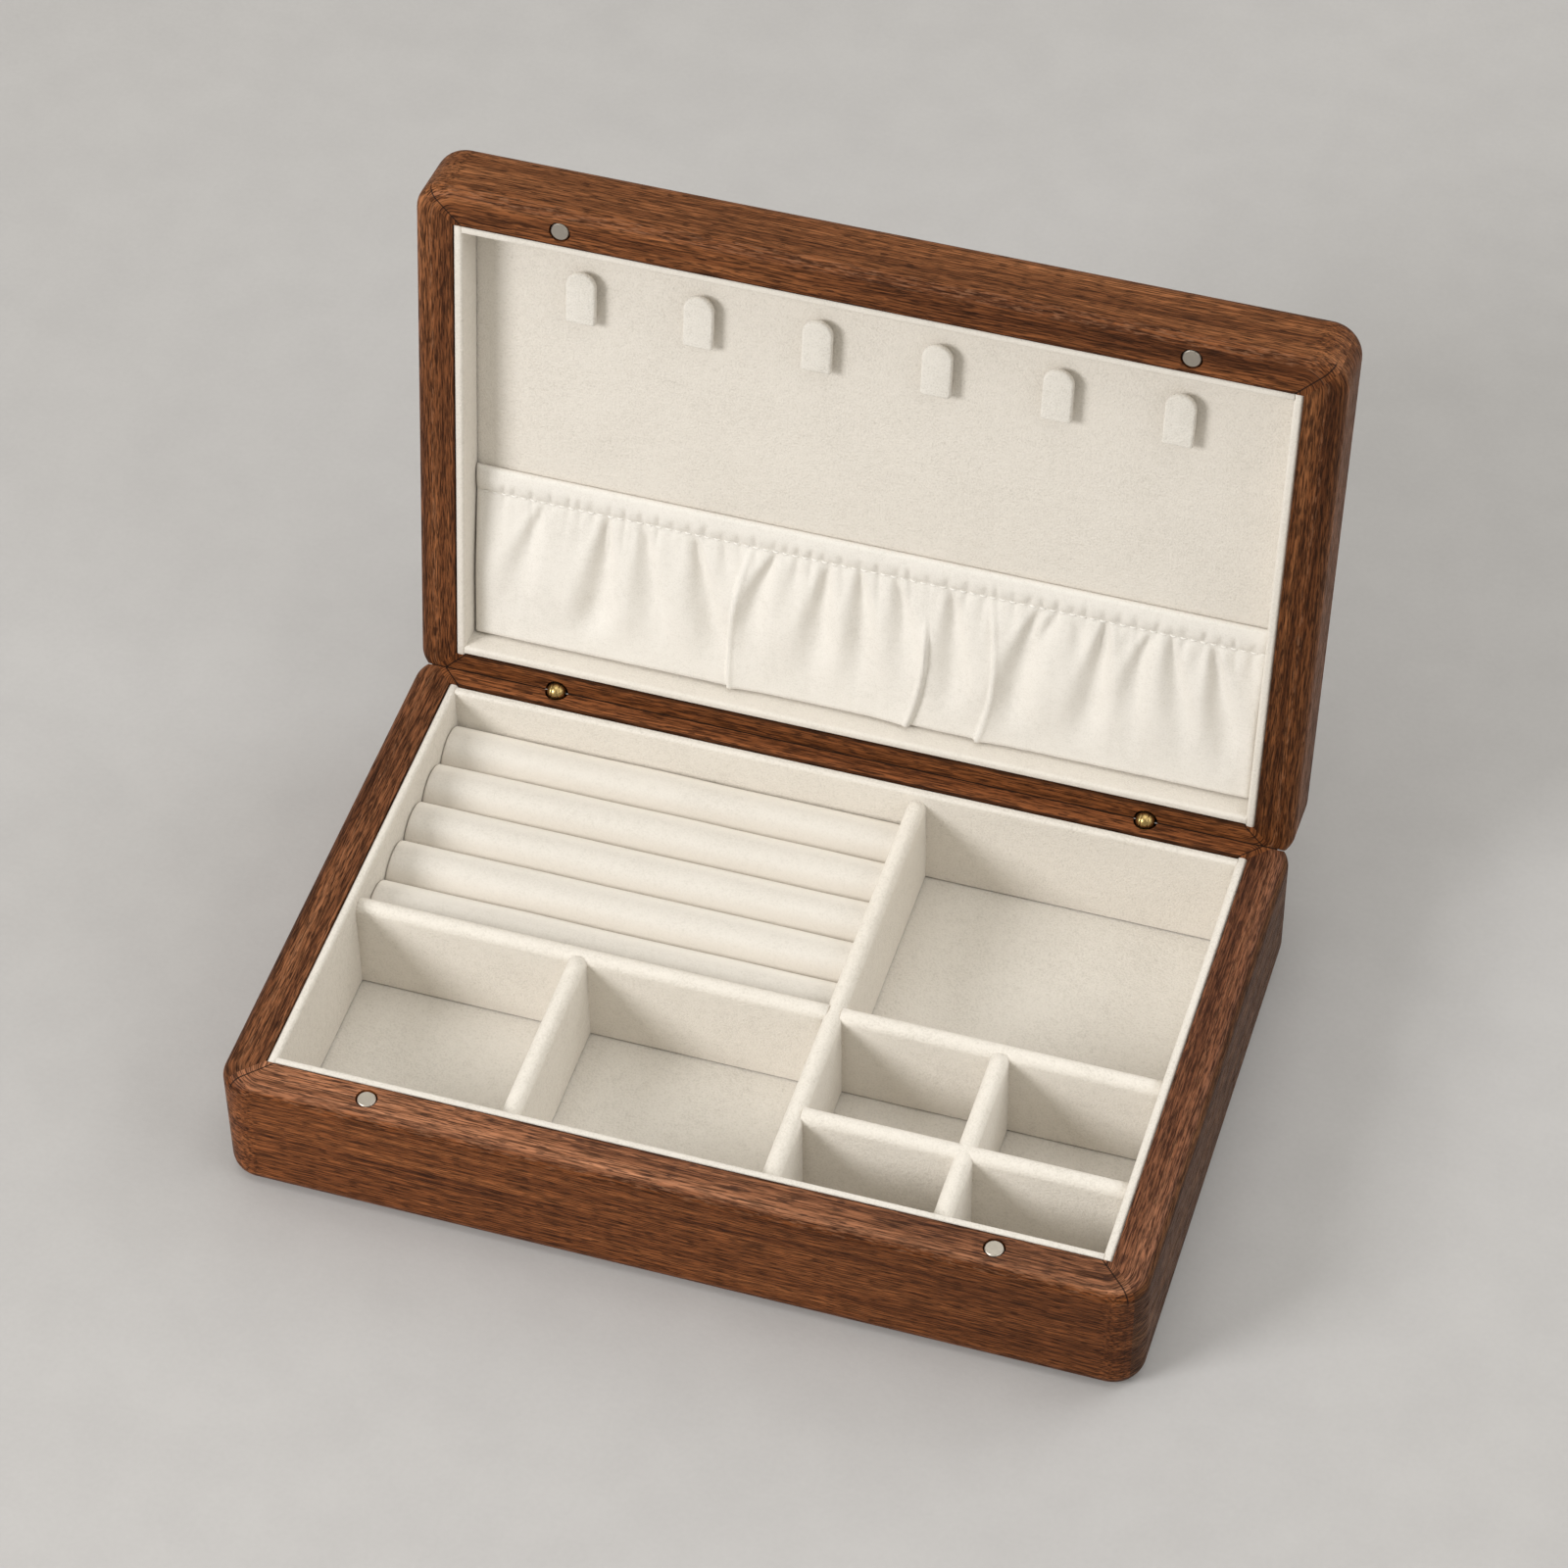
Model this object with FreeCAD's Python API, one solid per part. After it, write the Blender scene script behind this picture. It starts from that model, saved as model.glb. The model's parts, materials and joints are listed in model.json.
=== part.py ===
"""Wooden jewelry box: hinged lid, velvet lining, ring rolls, dividers, necklace hooks and a gathered pocket.

Units are millimetres. The origin is the middle of the box's underside, +X is to the right seen from the front,
+Y is to the back and +Z is up. The lid is drawn shut on the base and then swung open about the hinge axis.
"""

import FreeCAD
import Part

import math
import os

from FreeCAD import Vector

# Wooden carcass
BOX_WIDTH = 280.0
BOX_DEPTH = 184.0
BASE_HEIGHT = 44.0
LID_HEIGHT = 26.0
RAIL_THICKNESS = 12.0
CORNER_RADIUS = 10.0
RIM_EDGE_RADIUS = 4.0
FOOT_EDGE_RADIUS = 6.0
LID_EDGE_RADIUS = 6.0
BOTTOM_PANEL_THICKNESS = 4.5
BOTTOM_RABBET = 3.0
TOP_PANEL_THICKNESS = 8.0
TOP_RABBET = 4.0
PANEL_FIT = 0.15
PANEL_EASE = 0.5

# Lid swing: the shut lid stays this far above the base, and the relief bevels the same distance apart when open
OPEN_ANGLE = 98.0
RIM_GAP = 0.3
RELIEF_EDGE_RADIUS = 4.0

# Barrel hinges
HINGE_END_INSET = 45.5
BARREL_DIAMETER = 7.3
BARREL_FIT = 0.05
BARREL_BORE_DEPTH = 15.0
BARREL_SINK = 4.5
KNUCKLE_DIAMETER = 5.6
KNUCKLE_LENGTH = 5.4
KNUCKLE_BEVEL = 0.8
KNUCKLE_NECK_WIDTH = 3.6
EYE_THICKNESS = 2.2
EYE_SIDE_GAP = 0.1
EYE_END_GAP = 0.3
PIN_DIAMETER = 1.6
PIN_RUNNING_FIT = 0.05
PIN_PRESS_FIT = 0.01
PIN_END_SINK = 0.2

# Disc magnets in both front rims
MAGNET_END_INSET = 45.3
MAGNET_INSET = 7.2
MAGNET_DIAMETER = 6.0
MAGNET_THICKNESS = 3.0
MAGNET_SIDE_GAP = 0.3
MAGNET_SINK = 0.15

# Velvet-covered lining boards
LINING_THICKNESS = 3.0
LINING_RECESS = 0.8
LINING_EDGE_BEVEL = 1.0
LINING_FIT = 0.1
FLOOR_LINING_THICKNESS = 2.0
LID_CAVITY_DEPTH = 13.0

# Dividers, and the clear sizes of the trays that they part
DIVIDER_THICKNESS = 6.0
DIVIDER_RECESS = 3.5
DIVIDER_EDGE_RADIUS = 2.2
DIVIDER_FIT = 0.1
RIGHT_TRAY_WIDTH = 96.9
FRONT_TRAY_DEPTH = 63.6
FRONT_LEFT_TRAY_WIDTH = 67.5
SMALL_TRAY_DEPTH = 24.1

# Ring rolls, side by side across their bay
ROLL_COUNT = 5
ROLL_GAP = 0.3
ROLL_RECESS = 10.6

# Necklace hooks on the lid lining, evenly spaced between the end ones
HOOK_COUNT = 6
HOOK_END_INSET = 33.7
HOOK_DROP = 11.9
HOOK_WIDTH = 10.0
HOOK_HEIGHT = 17.0
HOOK_PLATE_THICKNESS = 2.4
HOOK_GAP = 2.4
HOOK_STEM_HEIGHT = 6.5
HOOK_STEM_WIDTH = 7.0
HOOK_EDGE_BEVEL = 0.6

# Gathered pocket on the lid lining
POCKET_HEIGHT = 62.9
HEM_HEIGHT = 8.5
HEM_THICKNESS = 2.6
HEM_EDGE_BEVEL = 0.9
ELASTIC_WIDTH = 6.0
ELASTIC_THICKNESS = 0.7
ELASTIC_FIT = 0.15
CLOTH_THICKNESS = 0.8
CLOTH_CLEARANCE = 0.3
POCKET_FOLD_COUNT = 8
FOLD_UNEVENNESS = 0.35
FOLD_DRIFT = 2.3
POCKET_BULGE = 4.6
POCKET_BULGE_RISE = 17.0
POCKET_HEM_STAND = 1.0
FOLD_DEPTH = 1.0
FOLD_DEPTH_HEM = 0.6
FOLD_DEPTH_FOOT = 0.3

# Overrun of cutting tools past the faces that they cut
OVERRUN = 1.0

# Places that follow from the sizes above
HALF_WIDTH = BOX_WIDTH / 2
HALF_DEPTH = BOX_DEPTH / 2
INNER_X = HALF_WIDTH - RAIL_THICKNESS
INNER_Y = HALF_DEPTH - RAIL_THICKNESS
LINED_X = INNER_X - LINING_FIT - LINING_THICKNESS
LINED_Y = INNER_Y - LINING_FIT - LINING_THICKNESS
LID_RIM_Z = BASE_HEIGHT + RIM_GAP
LID_TOP_Z = LID_RIM_Z + LID_HEIGHT
LID_PANEL_Z = LID_TOP_Z - TOP_PANEL_THICKNESS
LID_LINING_Z = LID_RIM_Z + LID_CAVITY_DEPTH
FLOOR_Z = BOTTOM_PANEL_THICKNESS + FLOOR_LINING_THICKNESS
DIVIDER_TOP_Z = BASE_HEIGHT - DIVIDER_RECESS
HINGE_Y = HALF_DEPTH - RAIL_THICKNESS / 2
HINGE_Z = BASE_HEIGHT + RIM_GAP / 2
HINGE_AXIS = Vector(1, 0, 0)
HINGE_POINT = Vector(0, HINGE_Y, HINGE_Z)
HINGE_X = HALF_WIDTH - HINGE_END_INSET
MAGNET_X = HALF_WIDTH - MAGNET_END_INSET
MAGNET_Y = MAGNET_INSET - HALF_DEPTH
MAIN_DIVIDER_X = LINED_X - RIGHT_TRAY_WIDTH - DIVIDER_THICKNESS
CROSS_DIVIDER_Y = FRONT_TRAY_DEPTH - LINED_Y
LEFT_SHORT_DIVIDER_X = FRONT_LEFT_TRAY_WIDTH - LINED_X
SMALL_CROSS_DIVIDER_Y = SMALL_TRAY_DEPTH - LINED_Y
POCKET_TOP_Y = LINED_Y - POCKET_HEIGHT
SIDES = {"left": -1, "right": 1}


def block(x, y, z):
    """Box between pairs of coordinates along each axis."""
    size = (x[1] - x[0], y[1] - y[0], z[1] - z[0])
    return Part.makeBox(*size, Vector(x[0], y[0], z[0]))


def upright(radius, x, y, z):
    """Cylinder standing between two heights."""
    return Part.makeCylinder(radius, z[1] - z[0], Vector(x, y, z[0]))


def flat_face(points):
    """Planar face inside a closed run of straight lines."""
    return Part.Face(Part.makePolygon([*points, points[0]]))


def edges_at_height(shape, z):
    """Edges that lie level at one height."""
    return [e for e in shape.Edges if abs(e.BoundBox.ZMin - z) < 1e-6 and abs(e.BoundBox.ZMax - z) < 1e-6]


def long_edges_at_height(board, z):
    """The longest of a board's level edges at one height."""
    edges = edges_at_height(board, z)
    longest = max(e.Length for e in edges)
    return [e for e in edges if e.Length > longest - 1e-6]


def upright_edges(shape):
    """Straight edges that run along Z."""
    return [e for e in shape.Edges if e.BoundBox.XLength < 1e-6 and e.BoundBox.YLength < 1e-6]


def mirrored_in_hinge_plane(shape):
    """The lid's twin of a base feature: mirrored in the level plane through the hinge axis."""
    return shape.mirror(HINGE_POINT, Vector(0, 0, 1))


def swung_open(shape):
    """A shut lid's piece, turned about the hinge axis to where the open lid holds it."""
    opened = shape.copy()
    opened.rotate(HINGE_POINT, HINGE_AXIS, -OPEN_ANGLE)
    return opened


def rounded_carcass(z, low_radius, high_radius):
    """Solid block of the box's plan with rounded upright corners and rounded level edges."""
    carcass = block((-HALF_WIDTH, HALF_WIDTH), (-HALF_DEPTH, HALF_DEPTH), z)
    carcass = carcass.makeFillet(CORNER_RADIUS, upright_edges(carcass))
    carcass = carcass.makeFillet(low_radius, edges_at_height(carcass, z[0]))
    return carcass.makeFillet(high_radius, edges_at_height(carcass, z[1]))


def mitred(ring, z):
    """A rectangular ring cut on its diagonals into front, back, left and right lengths."""
    reach = RAIL_THICKNESS + OVERRUN
    far = {s: (s * (HALF_WIDTH + OVERRUN), s * (HALF_DEPTH + OVERRUN)) for s in (-1, 1)}
    near = {s: (s * (HALF_WIDTH - reach), s * (HALF_DEPTH - reach)) for s in (-1, 1)}
    low = z[0] - OVERRUN
    outer = {(a, b): Vector(far[a][0], far[b][1], low) for a in (-1, 1) for b in (-1, 1)}
    inner = {(a, b): Vector(near[a][0], near[b][1], low) for a in (-1, 1) for b in (-1, 1)}
    corners = {
        "front": ((-1, -1), (1, -1)),
        "back": ((1, 1), (-1, 1)),
        "left": ((-1, 1), (-1, -1)),
        "right": ((1, -1), (1, 1)),
    }
    height = Vector(0, 0, z[1] - z[0] + 2 * OVERRUN)
    lengths = {}
    for side, (start, end) in corners.items():
        wedge = flat_face([outer[start], outer[end], inner[end], inner[start]]).extrude(height)
        lengths[side] = ring.common(wedge)
    return lengths


def hinge_relief():
    """Cutter behind the hinge axis: a bevel at half the opening angle that runs round into the back face."""
    bevel = FreeCAD.Rotation(HINGE_AXIS, -OPEN_ANGLE / 2)
    down = bevel.multVec(Vector(0, 1, 0))
    out = bevel.multVec(Vector(0, 0, 1))
    on_bevel = HINGE_POINT - out * (RIM_GAP / 2)
    start = on_bevel + down * ((BASE_HEIGHT - on_bevel.z) / down.z)
    edge = on_bevel + down * ((HALF_DEPTH - on_bevel.y) / down.y)
    tangent = RELIEF_EDGE_RADIUS * (1 - down.dot(Vector(0, 0, -1))) / down.cross(Vector(0, 0, -1)).Length
    bevel_end = edge - down * tangent
    face_start = edge - Vector(0, 0, tangent)
    centre = bevel_end - out * RELIEF_EDGE_RADIUS
    middle = centre + (edge - centre).normalize() * RELIEF_EDGE_RADIUS
    past_back = Vector(0, HALF_DEPTH + OVERRUN, face_start.z)
    past_top = Vector(0, past_back.y, BASE_HEIGHT + OVERRUN)
    above_start = Vector(0, start.y, past_top.z)
    profile = Part.Wire([
        Part.makeLine(start, bevel_end),
        Part.Arc(bevel_end, middle, face_start).toShape(),
        Part.makeLine(face_start, past_back),
        Part.makeLine(past_back, past_top),
        Part.makeLine(past_top, above_start),
        Part.makeLine(above_start, start),
    ])
    cutter = Part.Face(profile).extrude(Vector(BOX_WIDTH + 2 * OVERRUN, 0, 0))
    cutter.translate(Vector(-HALF_WIDTH - OVERRUN, 0, 0))
    return cutter


def rim_bores():
    """Cutters in the base's rim: two barrel bores at the back and two magnet seats at the front."""
    top = BASE_HEIGHT + OVERRUN
    bores = []
    for sign in SIDES.values():
        barrel_x = sign * HINGE_X
        magnet_x = sign * MAGNET_X
        barrel_radius = BARREL_DIAMETER / 2 + BARREL_FIT
        magnet_radius = MAGNET_DIAMETER / 2 + MAGNET_SIDE_GAP
        bores.append(upright(barrel_radius, barrel_x, HINGE_Y, (BASE_HEIGHT - BARREL_BORE_DEPTH, top)))
        seat_z = BASE_HEIGHT - MAGNET_SINK - MAGNET_THICKNESS
        bores.append(upright(magnet_radius, magnet_x, MAGNET_Y, (seat_z, top)))
    return bores


def base_rails():
    """Four mitred walls with a rabbet for the bottom panel, the hinge relief and the rim bores."""
    z = (0.0, BASE_HEIGHT)
    rabbet_x = INNER_X + BOTTOM_RABBET
    rabbet_y = INNER_Y + BOTTOM_RABBET
    opening = block((-INNER_X, INNER_X), (-INNER_Y, INNER_Y), (-OVERRUN, BASE_HEIGHT + OVERRUN))
    rabbet = block((-rabbet_x, rabbet_x), (-rabbet_y, rabbet_y), (-OVERRUN, BOTTOM_PANEL_THICKNESS))
    ring = rounded_carcass(z, FOOT_EDGE_RADIUS, RIM_EDGE_RADIUS)
    ring = ring.cut([opening, rabbet, hinge_relief(), *rim_bores()])
    return {f"base_{side}_rail": rail for side, rail in mitred(ring, z).items()}


def lid_rails():
    """Four mitred walls with a rabbet for the top panel and the base's relief and bores, mirrored."""
    z = (LID_RIM_Z, LID_TOP_Z)
    rabbet_x = INNER_X + TOP_RABBET
    rabbet_y = INNER_Y + TOP_RABBET
    opening = block((-INNER_X, INNER_X), (-INNER_Y, INNER_Y), (LID_RIM_Z - OVERRUN, LID_TOP_Z + OVERRUN))
    rabbet = block((-rabbet_x, rabbet_x), (-rabbet_y, rabbet_y), (LID_PANEL_Z, LID_TOP_Z + OVERRUN))
    ring = rounded_carcass(z, RIM_EDGE_RADIUS, LID_EDGE_RADIUS)
    shared = [mirrored_in_hinge_plane(cutter) for cutter in (hinge_relief(), *rim_bores())]
    ring = ring.cut([opening, rabbet, *shared])
    return {f"lid_{side}_rail": rail for side, rail in mitred(ring, z).items()}


def panel(rabbet, z, eased_z):
    """Flat board that fills a rabbet, with its outer edges eased."""
    x = INNER_X + rabbet - PANEL_FIT
    y = INNER_Y + rabbet - PANEL_FIT
    board = block((-x, x), (-y, y), z)
    return board.makeChamfer(PANEL_EASE, edges_at_height(board, eased_z))


def lining_board(z):
    """Velvet-covered board that fills the opening between the rails."""
    x = INNER_X - LINING_FIT
    y = INNER_Y - LINING_FIT
    return block((-x, x), (-y, y), z)


def lining_walls(z, rim_z):
    """Velvet-covered boards against the rails: two along the sides and two between them, eased at the rim."""
    board_x = (LINED_X, LINED_X + LINING_THICKNESS)
    board_y = (LINED_Y, LINED_Y + LINING_THICKNESS)
    full_y = (-board_y[1], board_y[1])
    between_x = between((-LINED_X, LINED_X), LINING_FIT)
    walls = {
        "front": block(between_x, (-board_y[1], -board_y[0]), z),
        "back": block(between_x, board_y, z),
        "left": block((-board_x[1], -board_x[0]), full_y, z),
        "right": block(board_x, full_y, z),
    }
    for side, wall in walls.items():
        walls[side] = wall.makeChamfer(LINING_EDGE_BEVEL, long_edges_at_height(wall, rim_z))
    return walls


def divider(x, y):
    """Upright velvet-covered board between two coordinates along each axis, rounded along its top."""
    board = block(x, y, (FLOOR_Z, DIVIDER_TOP_Z))
    return board.makeFillet(DIVIDER_EDGE_RADIUS, long_edges_at_height(board, DIVIDER_TOP_Z))


def faces_from(start):
    """The two face coordinates of a divider whose first face is known."""
    return start, start + DIVIDER_THICKNESS


def between(pair, clearance):
    """A pair of coordinates, drawn in by a clearance at both ends."""
    return pair[0] + clearance, pair[1] - clearance


def dividers():
    """Boards that part the base: one full-depth, two across it and the short ones in front of those."""
    main = faces_from(MAIN_DIVIDER_X)
    cross = faces_from(CROSS_DIVIDER_Y)
    small_y = faces_from(SMALL_CROSS_DIVIDER_Y)
    front_y = between((-LINED_Y, cross[0]), DIVIDER_FIT)
    left_x = between((-LINED_X, main[0]), DIVIDER_FIT)
    right_x = between((main[1], LINED_X), DIVIDER_FIT)
    small_x = faces_from(sum(right_x) / 2 - DIVIDER_THICKNESS / 2)
    lap = between(small_x, -DIVIDER_FIT), between(small_y, -DIVIDER_FIT)
    lap_z = (FLOOR_Z + DIVIDER_TOP_Z) / 2
    return {
        "main_divider": divider(main, between((-LINED_Y, LINED_Y), DIVIDER_FIT)),
        "left_cross_divider": divider(left_x, cross),
        "right_cross_divider": divider(right_x, cross),
        "left_short_divider": divider(faces_from(LEFT_SHORT_DIVIDER_X), front_y),
        "small_cross_divider": divider(right_x, small_y).cut(block(*lap, (lap_z, DIVIDER_TOP_Z + OVERRUN))),
        "small_short_divider": divider(small_x, front_y).cut(block(*lap, (FLOOR_Z - OVERRUN, lap_z))),
    }


def ring_rolls():
    """Padded bars with half-round crowns, side by side from the back lining to the left cross divider."""
    bay = LINED_Y - faces_from(CROSS_DIVIDER_Y)[1]
    x = between((-LINED_X, MAIN_DIVIDER_X), DIVIDER_FIT)
    width = (bay - (ROLL_COUNT + 1) * ROLL_GAP) / ROLL_COUNT
    crown_z = BASE_HEIGHT - ROLL_RECESS
    rolls = {}
    for number in range(ROLL_COUNT):
        back_y = LINED_Y - ROLL_GAP - number * (width + ROLL_GAP)
        rolls[f"ring_roll_{number + 1}"] = ring_roll(x, (back_y - width, back_y), crown_z)
    return rolls


def ring_roll(x, y, crown_z):
    """One padded bar: upright sides and a crown of two quarter rounds."""
    radius = (y[1] - y[0]) / 2
    axis = Vector(x[0], sum(y) / 2, crown_z - radius)
    crown = axis + Vector(0, 0, radius)
    shoulders = [axis + Vector(0, side * radius, 0) for side in (-1, 1)]
    feet = [Vector(x[0], end, FLOOR_Z) for end in y]
    haunches = [axis + (crown - axis + shoulder - axis).normalize() * radius for shoulder in shoulders]
    profile = Part.Wire([
        Part.makeLine(feet[0], feet[1]),
        Part.makeLine(feet[1], shoulders[1]),
        Part.Arc(shoulders[1], haunches[1], crown).toShape(),
        Part.Arc(crown, haunches[0], shoulders[0]).toShape(),
        Part.makeLine(shoulders[0], feet[0]),
    ])
    return Part.Face(profile).extrude(Vector(x[1] - x[0], 0, 0))


def disc_magnet(sign):
    """Round magnet that sits in the base's seat, just below the rim."""
    top = BASE_HEIGHT - MAGNET_SINK
    return upright(MAGNET_DIAMETER / 2, sign * MAGNET_X, MAGNET_Y, (top - MAGNET_THICKNESS, top))


def knuckle_and_neck(x):
    """Turned knuckle on the hinge axis, bevelled at its ends, with a square neck down to the base barrel."""
    barrel_top = BASE_HEIGHT - BARREL_SINK
    half = KNUCKLE_LENGTH / 2
    radius = KNUCKLE_DIAMETER / 2
    shape = [(-half, 0), (half, 0), (half, radius - KNUCKLE_BEVEL), (half - KNUCKLE_BEVEL, radius)]
    shape += [(KNUCKLE_BEVEL - half, radius), (-half, radius - KNUCKLE_BEVEL)]
    profile = flat_face([HINGE_POINT + Vector(x + along, 0, out) for along, out in shape])
    knuckle = profile.revolve(HINGE_POINT, HINGE_AXIS, 360)
    neck = KNUCKLE_NECK_WIDTH / 2
    return knuckle.fuse(block((x - neck, x + neck), (HINGE_Y - neck, HINGE_Y + neck), (barrel_top, HINGE_Z)))


def barrel(x):
    """Plain cylinder seated on the bottom of its bore in the base."""
    z = (BASE_HEIGHT - BARREL_BORE_DEPTH, BASE_HEIGHT - BARREL_SINK)
    return upright(BARREL_DIAMETER / 2, x, HINGE_Y, z)


def slab(x, half_thickness, low):
    """Block across the hinge from one height up past the knuckle, for the eye and its slot."""
    y = (HINGE_Y - KNUCKLE_DIAMETER, HINGE_Y + KNUCKLE_DIAMETER)
    return block((x - half_thickness, x + half_thickness), y, (low, HINGE_Z + KNUCKLE_DIAMETER))


def pin_hole(x, fit):
    """Round tool along the hinge axis, as long as the knuckle."""
    start = Vector(x - KNUCKLE_DIAMETER, HINGE_Y, HINGE_Z)
    return Part.makeCylinder(PIN_DIAMETER / 2 + fit, 2 * KNUCKLE_DIAMETER, start, HINGE_AXIS)


def hinge_base_barrel(x):
    """Barrel whose knuckle is forked for the lid's eye and holds the pin tight."""
    slot_floor = HINGE_Z - KNUCKLE_DIAMETER / 2 - EYE_END_GAP
    slot = slab(x, EYE_THICKNESS / 2 + EYE_SIDE_GAP, slot_floor)
    forked = knuckle_and_neck(x).cut([slot, pin_hole(x, PIN_PRESS_FIT)])
    return barrel(x).fuse(forked).removeSplitter()


def hinge_lid_barrel(x):
    """Barrel whose knuckle is a single eye that runs on the pin, turned over into the lid."""
    tongue = knuckle_and_neck(x).common(slab(x, EYE_THICKNESS / 2, BASE_HEIGHT - BARREL_SINK))
    eye = tongue.cut(pin_hole(x, PIN_RUNNING_FIT))
    return mirrored_in_hinge_plane(barrel(x).fuse(eye).removeSplitter())


def hinge_pin(x):
    """Pin along the hinge axis that ends just inside the knuckle."""
    length = KNUCKLE_LENGTH - 2 * PIN_END_SINK
    return Part.makeCylinder(PIN_DIAMETER / 2, length, Vector(x - length / 2, HINGE_Y, HINGE_Z), HINGE_AXIS)


def necklace_hook(x):
    """Tab with a round end that stands off the lid lining on a stem, so that a chain drops behind it."""
    half = HOOK_WIDTH / 2
    plate_z = LID_LINING_Z - HOOK_GAP - HOOK_PLATE_THICKNESS
    tip_y = HOOK_DROP - LINED_Y
    foot_y = tip_y + HOOK_HEIGHT
    arc_y = tip_y + half
    turns = ((-1, foot_y), (1, foot_y), (1, arc_y), (-1, arc_y))
    corners = [Vector(x + side * half, y, plate_z) for side, y in turns]
    tip = Vector(x, tip_y, plate_z)
    outline = Part.Wire([
        Part.makeLine(corners[0], corners[1]),
        Part.makeLine(corners[1], corners[2]),
        Part.Arc(corners[2], tip, corners[3]).toShape(),
        Part.makeLine(corners[3], corners[0]),
    ])
    plate = Part.Face(outline).extrude(Vector(0, 0, HOOK_PLATE_THICKNESS))
    plate = plate.makeChamfer(HOOK_EDGE_BEVEL, edges_at_height(plate, plate_z))
    stem_x = (x - HOOK_STEM_WIDTH / 2, x + HOOK_STEM_WIDTH / 2)
    stem = block(stem_x, (foot_y - HOOK_STEM_HEIGHT, foot_y), (plate_z + HOOK_PLATE_THICKNESS, LID_LINING_Z))
    return plate.fuse(stem).removeSplitter()


def fold_places():
    """Places along X where the pocket's folds turn, unevenly wide between the pocket's two ends."""
    edge_x = LINED_X - CLOTH_CLEARANCE
    waves = range(2 * POCKET_FOLD_COUNT)
    widths = [1 + FOLD_UNEVENNESS * math.sin(FOLD_DRIFT * wave) for wave in waves]
    return [2 * edge_x * sum(widths[:wave]) / sum(widths) - edge_x for wave in (*waves, len(waves))]


def fold_line(y, stand, depth):
    """Closed outline of the pocket cloth at one place: a row of arcs in and out, and its twin behind it."""
    front_z = LID_LINING_Z - stand
    back_z = front_z + CLOTH_THICKNESS
    places = fold_places()
    front = []
    behind = []
    for number, (start, end) in enumerate(zip(places, places[1:])):
        swing = Vector(0, 0, depth * (-1) ** number)
        near, middle, far = (Vector(x, y, front_z) for x in (start, (start + end) / 2, end))
        through = Vector(0, 0, CLOTH_THICKNESS)
        front.append(Part.Arc(near, middle - swing, far))
        behind.append(Part.Arc(far + through, middle - swing + through, near + through))
    right = Part.LineSegment(Vector(places[-1], y, front_z), Vector(places[-1], y, back_z))
    left = Part.LineSegment(Vector(places[0], y, back_z), Vector(places[0], y, front_z))
    return Part.Wire([curve.toShape() for curve in (*front, right, *reversed(behind), left)])


def pocket_cloth():
    """Gathered sheet from the foot of the lid lining up to the hem, with its main folds."""
    foot_y = LINED_Y - CLOTH_CLEARANCE
    foot_stand = CLOTH_CLEARANCE + CLOTH_THICKNESS + FOLD_DEPTH_FOOT
    hem_y = POCKET_TOP_Y + HEM_HEIGHT
    hem_stand = POCKET_HEM_STAND + CLOTH_THICKNESS
    sections = [
        fold_line(foot_y, foot_stand, FOLD_DEPTH_FOOT),
        fold_line(foot_y - POCKET_BULGE_RISE, POCKET_BULGE + CLOTH_THICKNESS, FOLD_DEPTH),
        fold_line(hem_y, hem_stand, FOLD_DEPTH_HEM),
    ]
    return Part.makeLoft(sections, True, True)


def hem_bar(height, thickness, stand):
    """Bar along the pocket's mouth, the given distance off the lid lining."""
    x = LINED_X - CLOTH_CLEARANCE
    middle_y = POCKET_TOP_Y + HEM_HEIGHT / 2
    z = LID_LINING_Z - stand
    return block((-x, x), (middle_y - height / 2, middle_y + height / 2), (z - thickness, z))


def pocket_hem():
    """Folded-over mouth of the pocket with a tunnel for the elastic."""
    bar = hem_bar(HEM_HEIGHT, HEM_THICKNESS, CLOTH_CLEARANCE)
    long_edges = [e for e in bar.Edges if e.BoundBox.XLength > HEM_HEIGHT]
    mouth_edges = [e for e in long_edges if e.BoundBox.YMax < POCKET_TOP_Y + HEM_HEIGHT / 2]
    bar = bar.makeChamfer(HEM_EDGE_BEVEL, mouth_edges)
    tunnel_height = ELASTIC_WIDTH + 2 * ELASTIC_FIT
    tunnel_thickness = ELASTIC_THICKNESS + 2 * ELASTIC_FIT
    stand = CLOTH_CLEARANCE + (HEM_THICKNESS - tunnel_thickness) / 2
    return bar.cut(hem_bar(tunnel_height, tunnel_thickness, stand))


def pocket_elastic():
    """Flat elastic strip in the hem's tunnel."""
    return hem_bar(ELASTIC_WIDTH, ELASTIC_THICKNESS, CLOTH_CLEARANCE + (HEM_THICKNESS - ELASTIC_THICKNESS) / 2)


def base_pieces():
    """Every piece of the base, by name."""
    walls_z = (FLOOR_Z, BASE_HEIGHT - LINING_RECESS)
    pieces = base_rails()
    pieces["base_bottom_panel"] = panel(BOTTOM_RABBET, (0.0, BOTTOM_PANEL_THICKNESS), 0.0)
    pieces["base_floor_lining"] = lining_board((BOTTOM_PANEL_THICKNESS, FLOOR_Z))
    for side, wall in lining_walls(walls_z, walls_z[1]).items():
        pieces[f"base_{side}_lining"] = wall
    pieces.update(dividers())
    pieces.update(ring_rolls())
    for side, sign in SIDES.items():
        hinge_x = sign * HINGE_X
        pieces[f"base_{side}_magnet"] = disc_magnet(sign)
        pieces[f"{side}_hinge_base_barrel"] = hinge_base_barrel(hinge_x)
        pieces[f"{side}_hinge_pin"] = hinge_pin(hinge_x)
    return pieces


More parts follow.
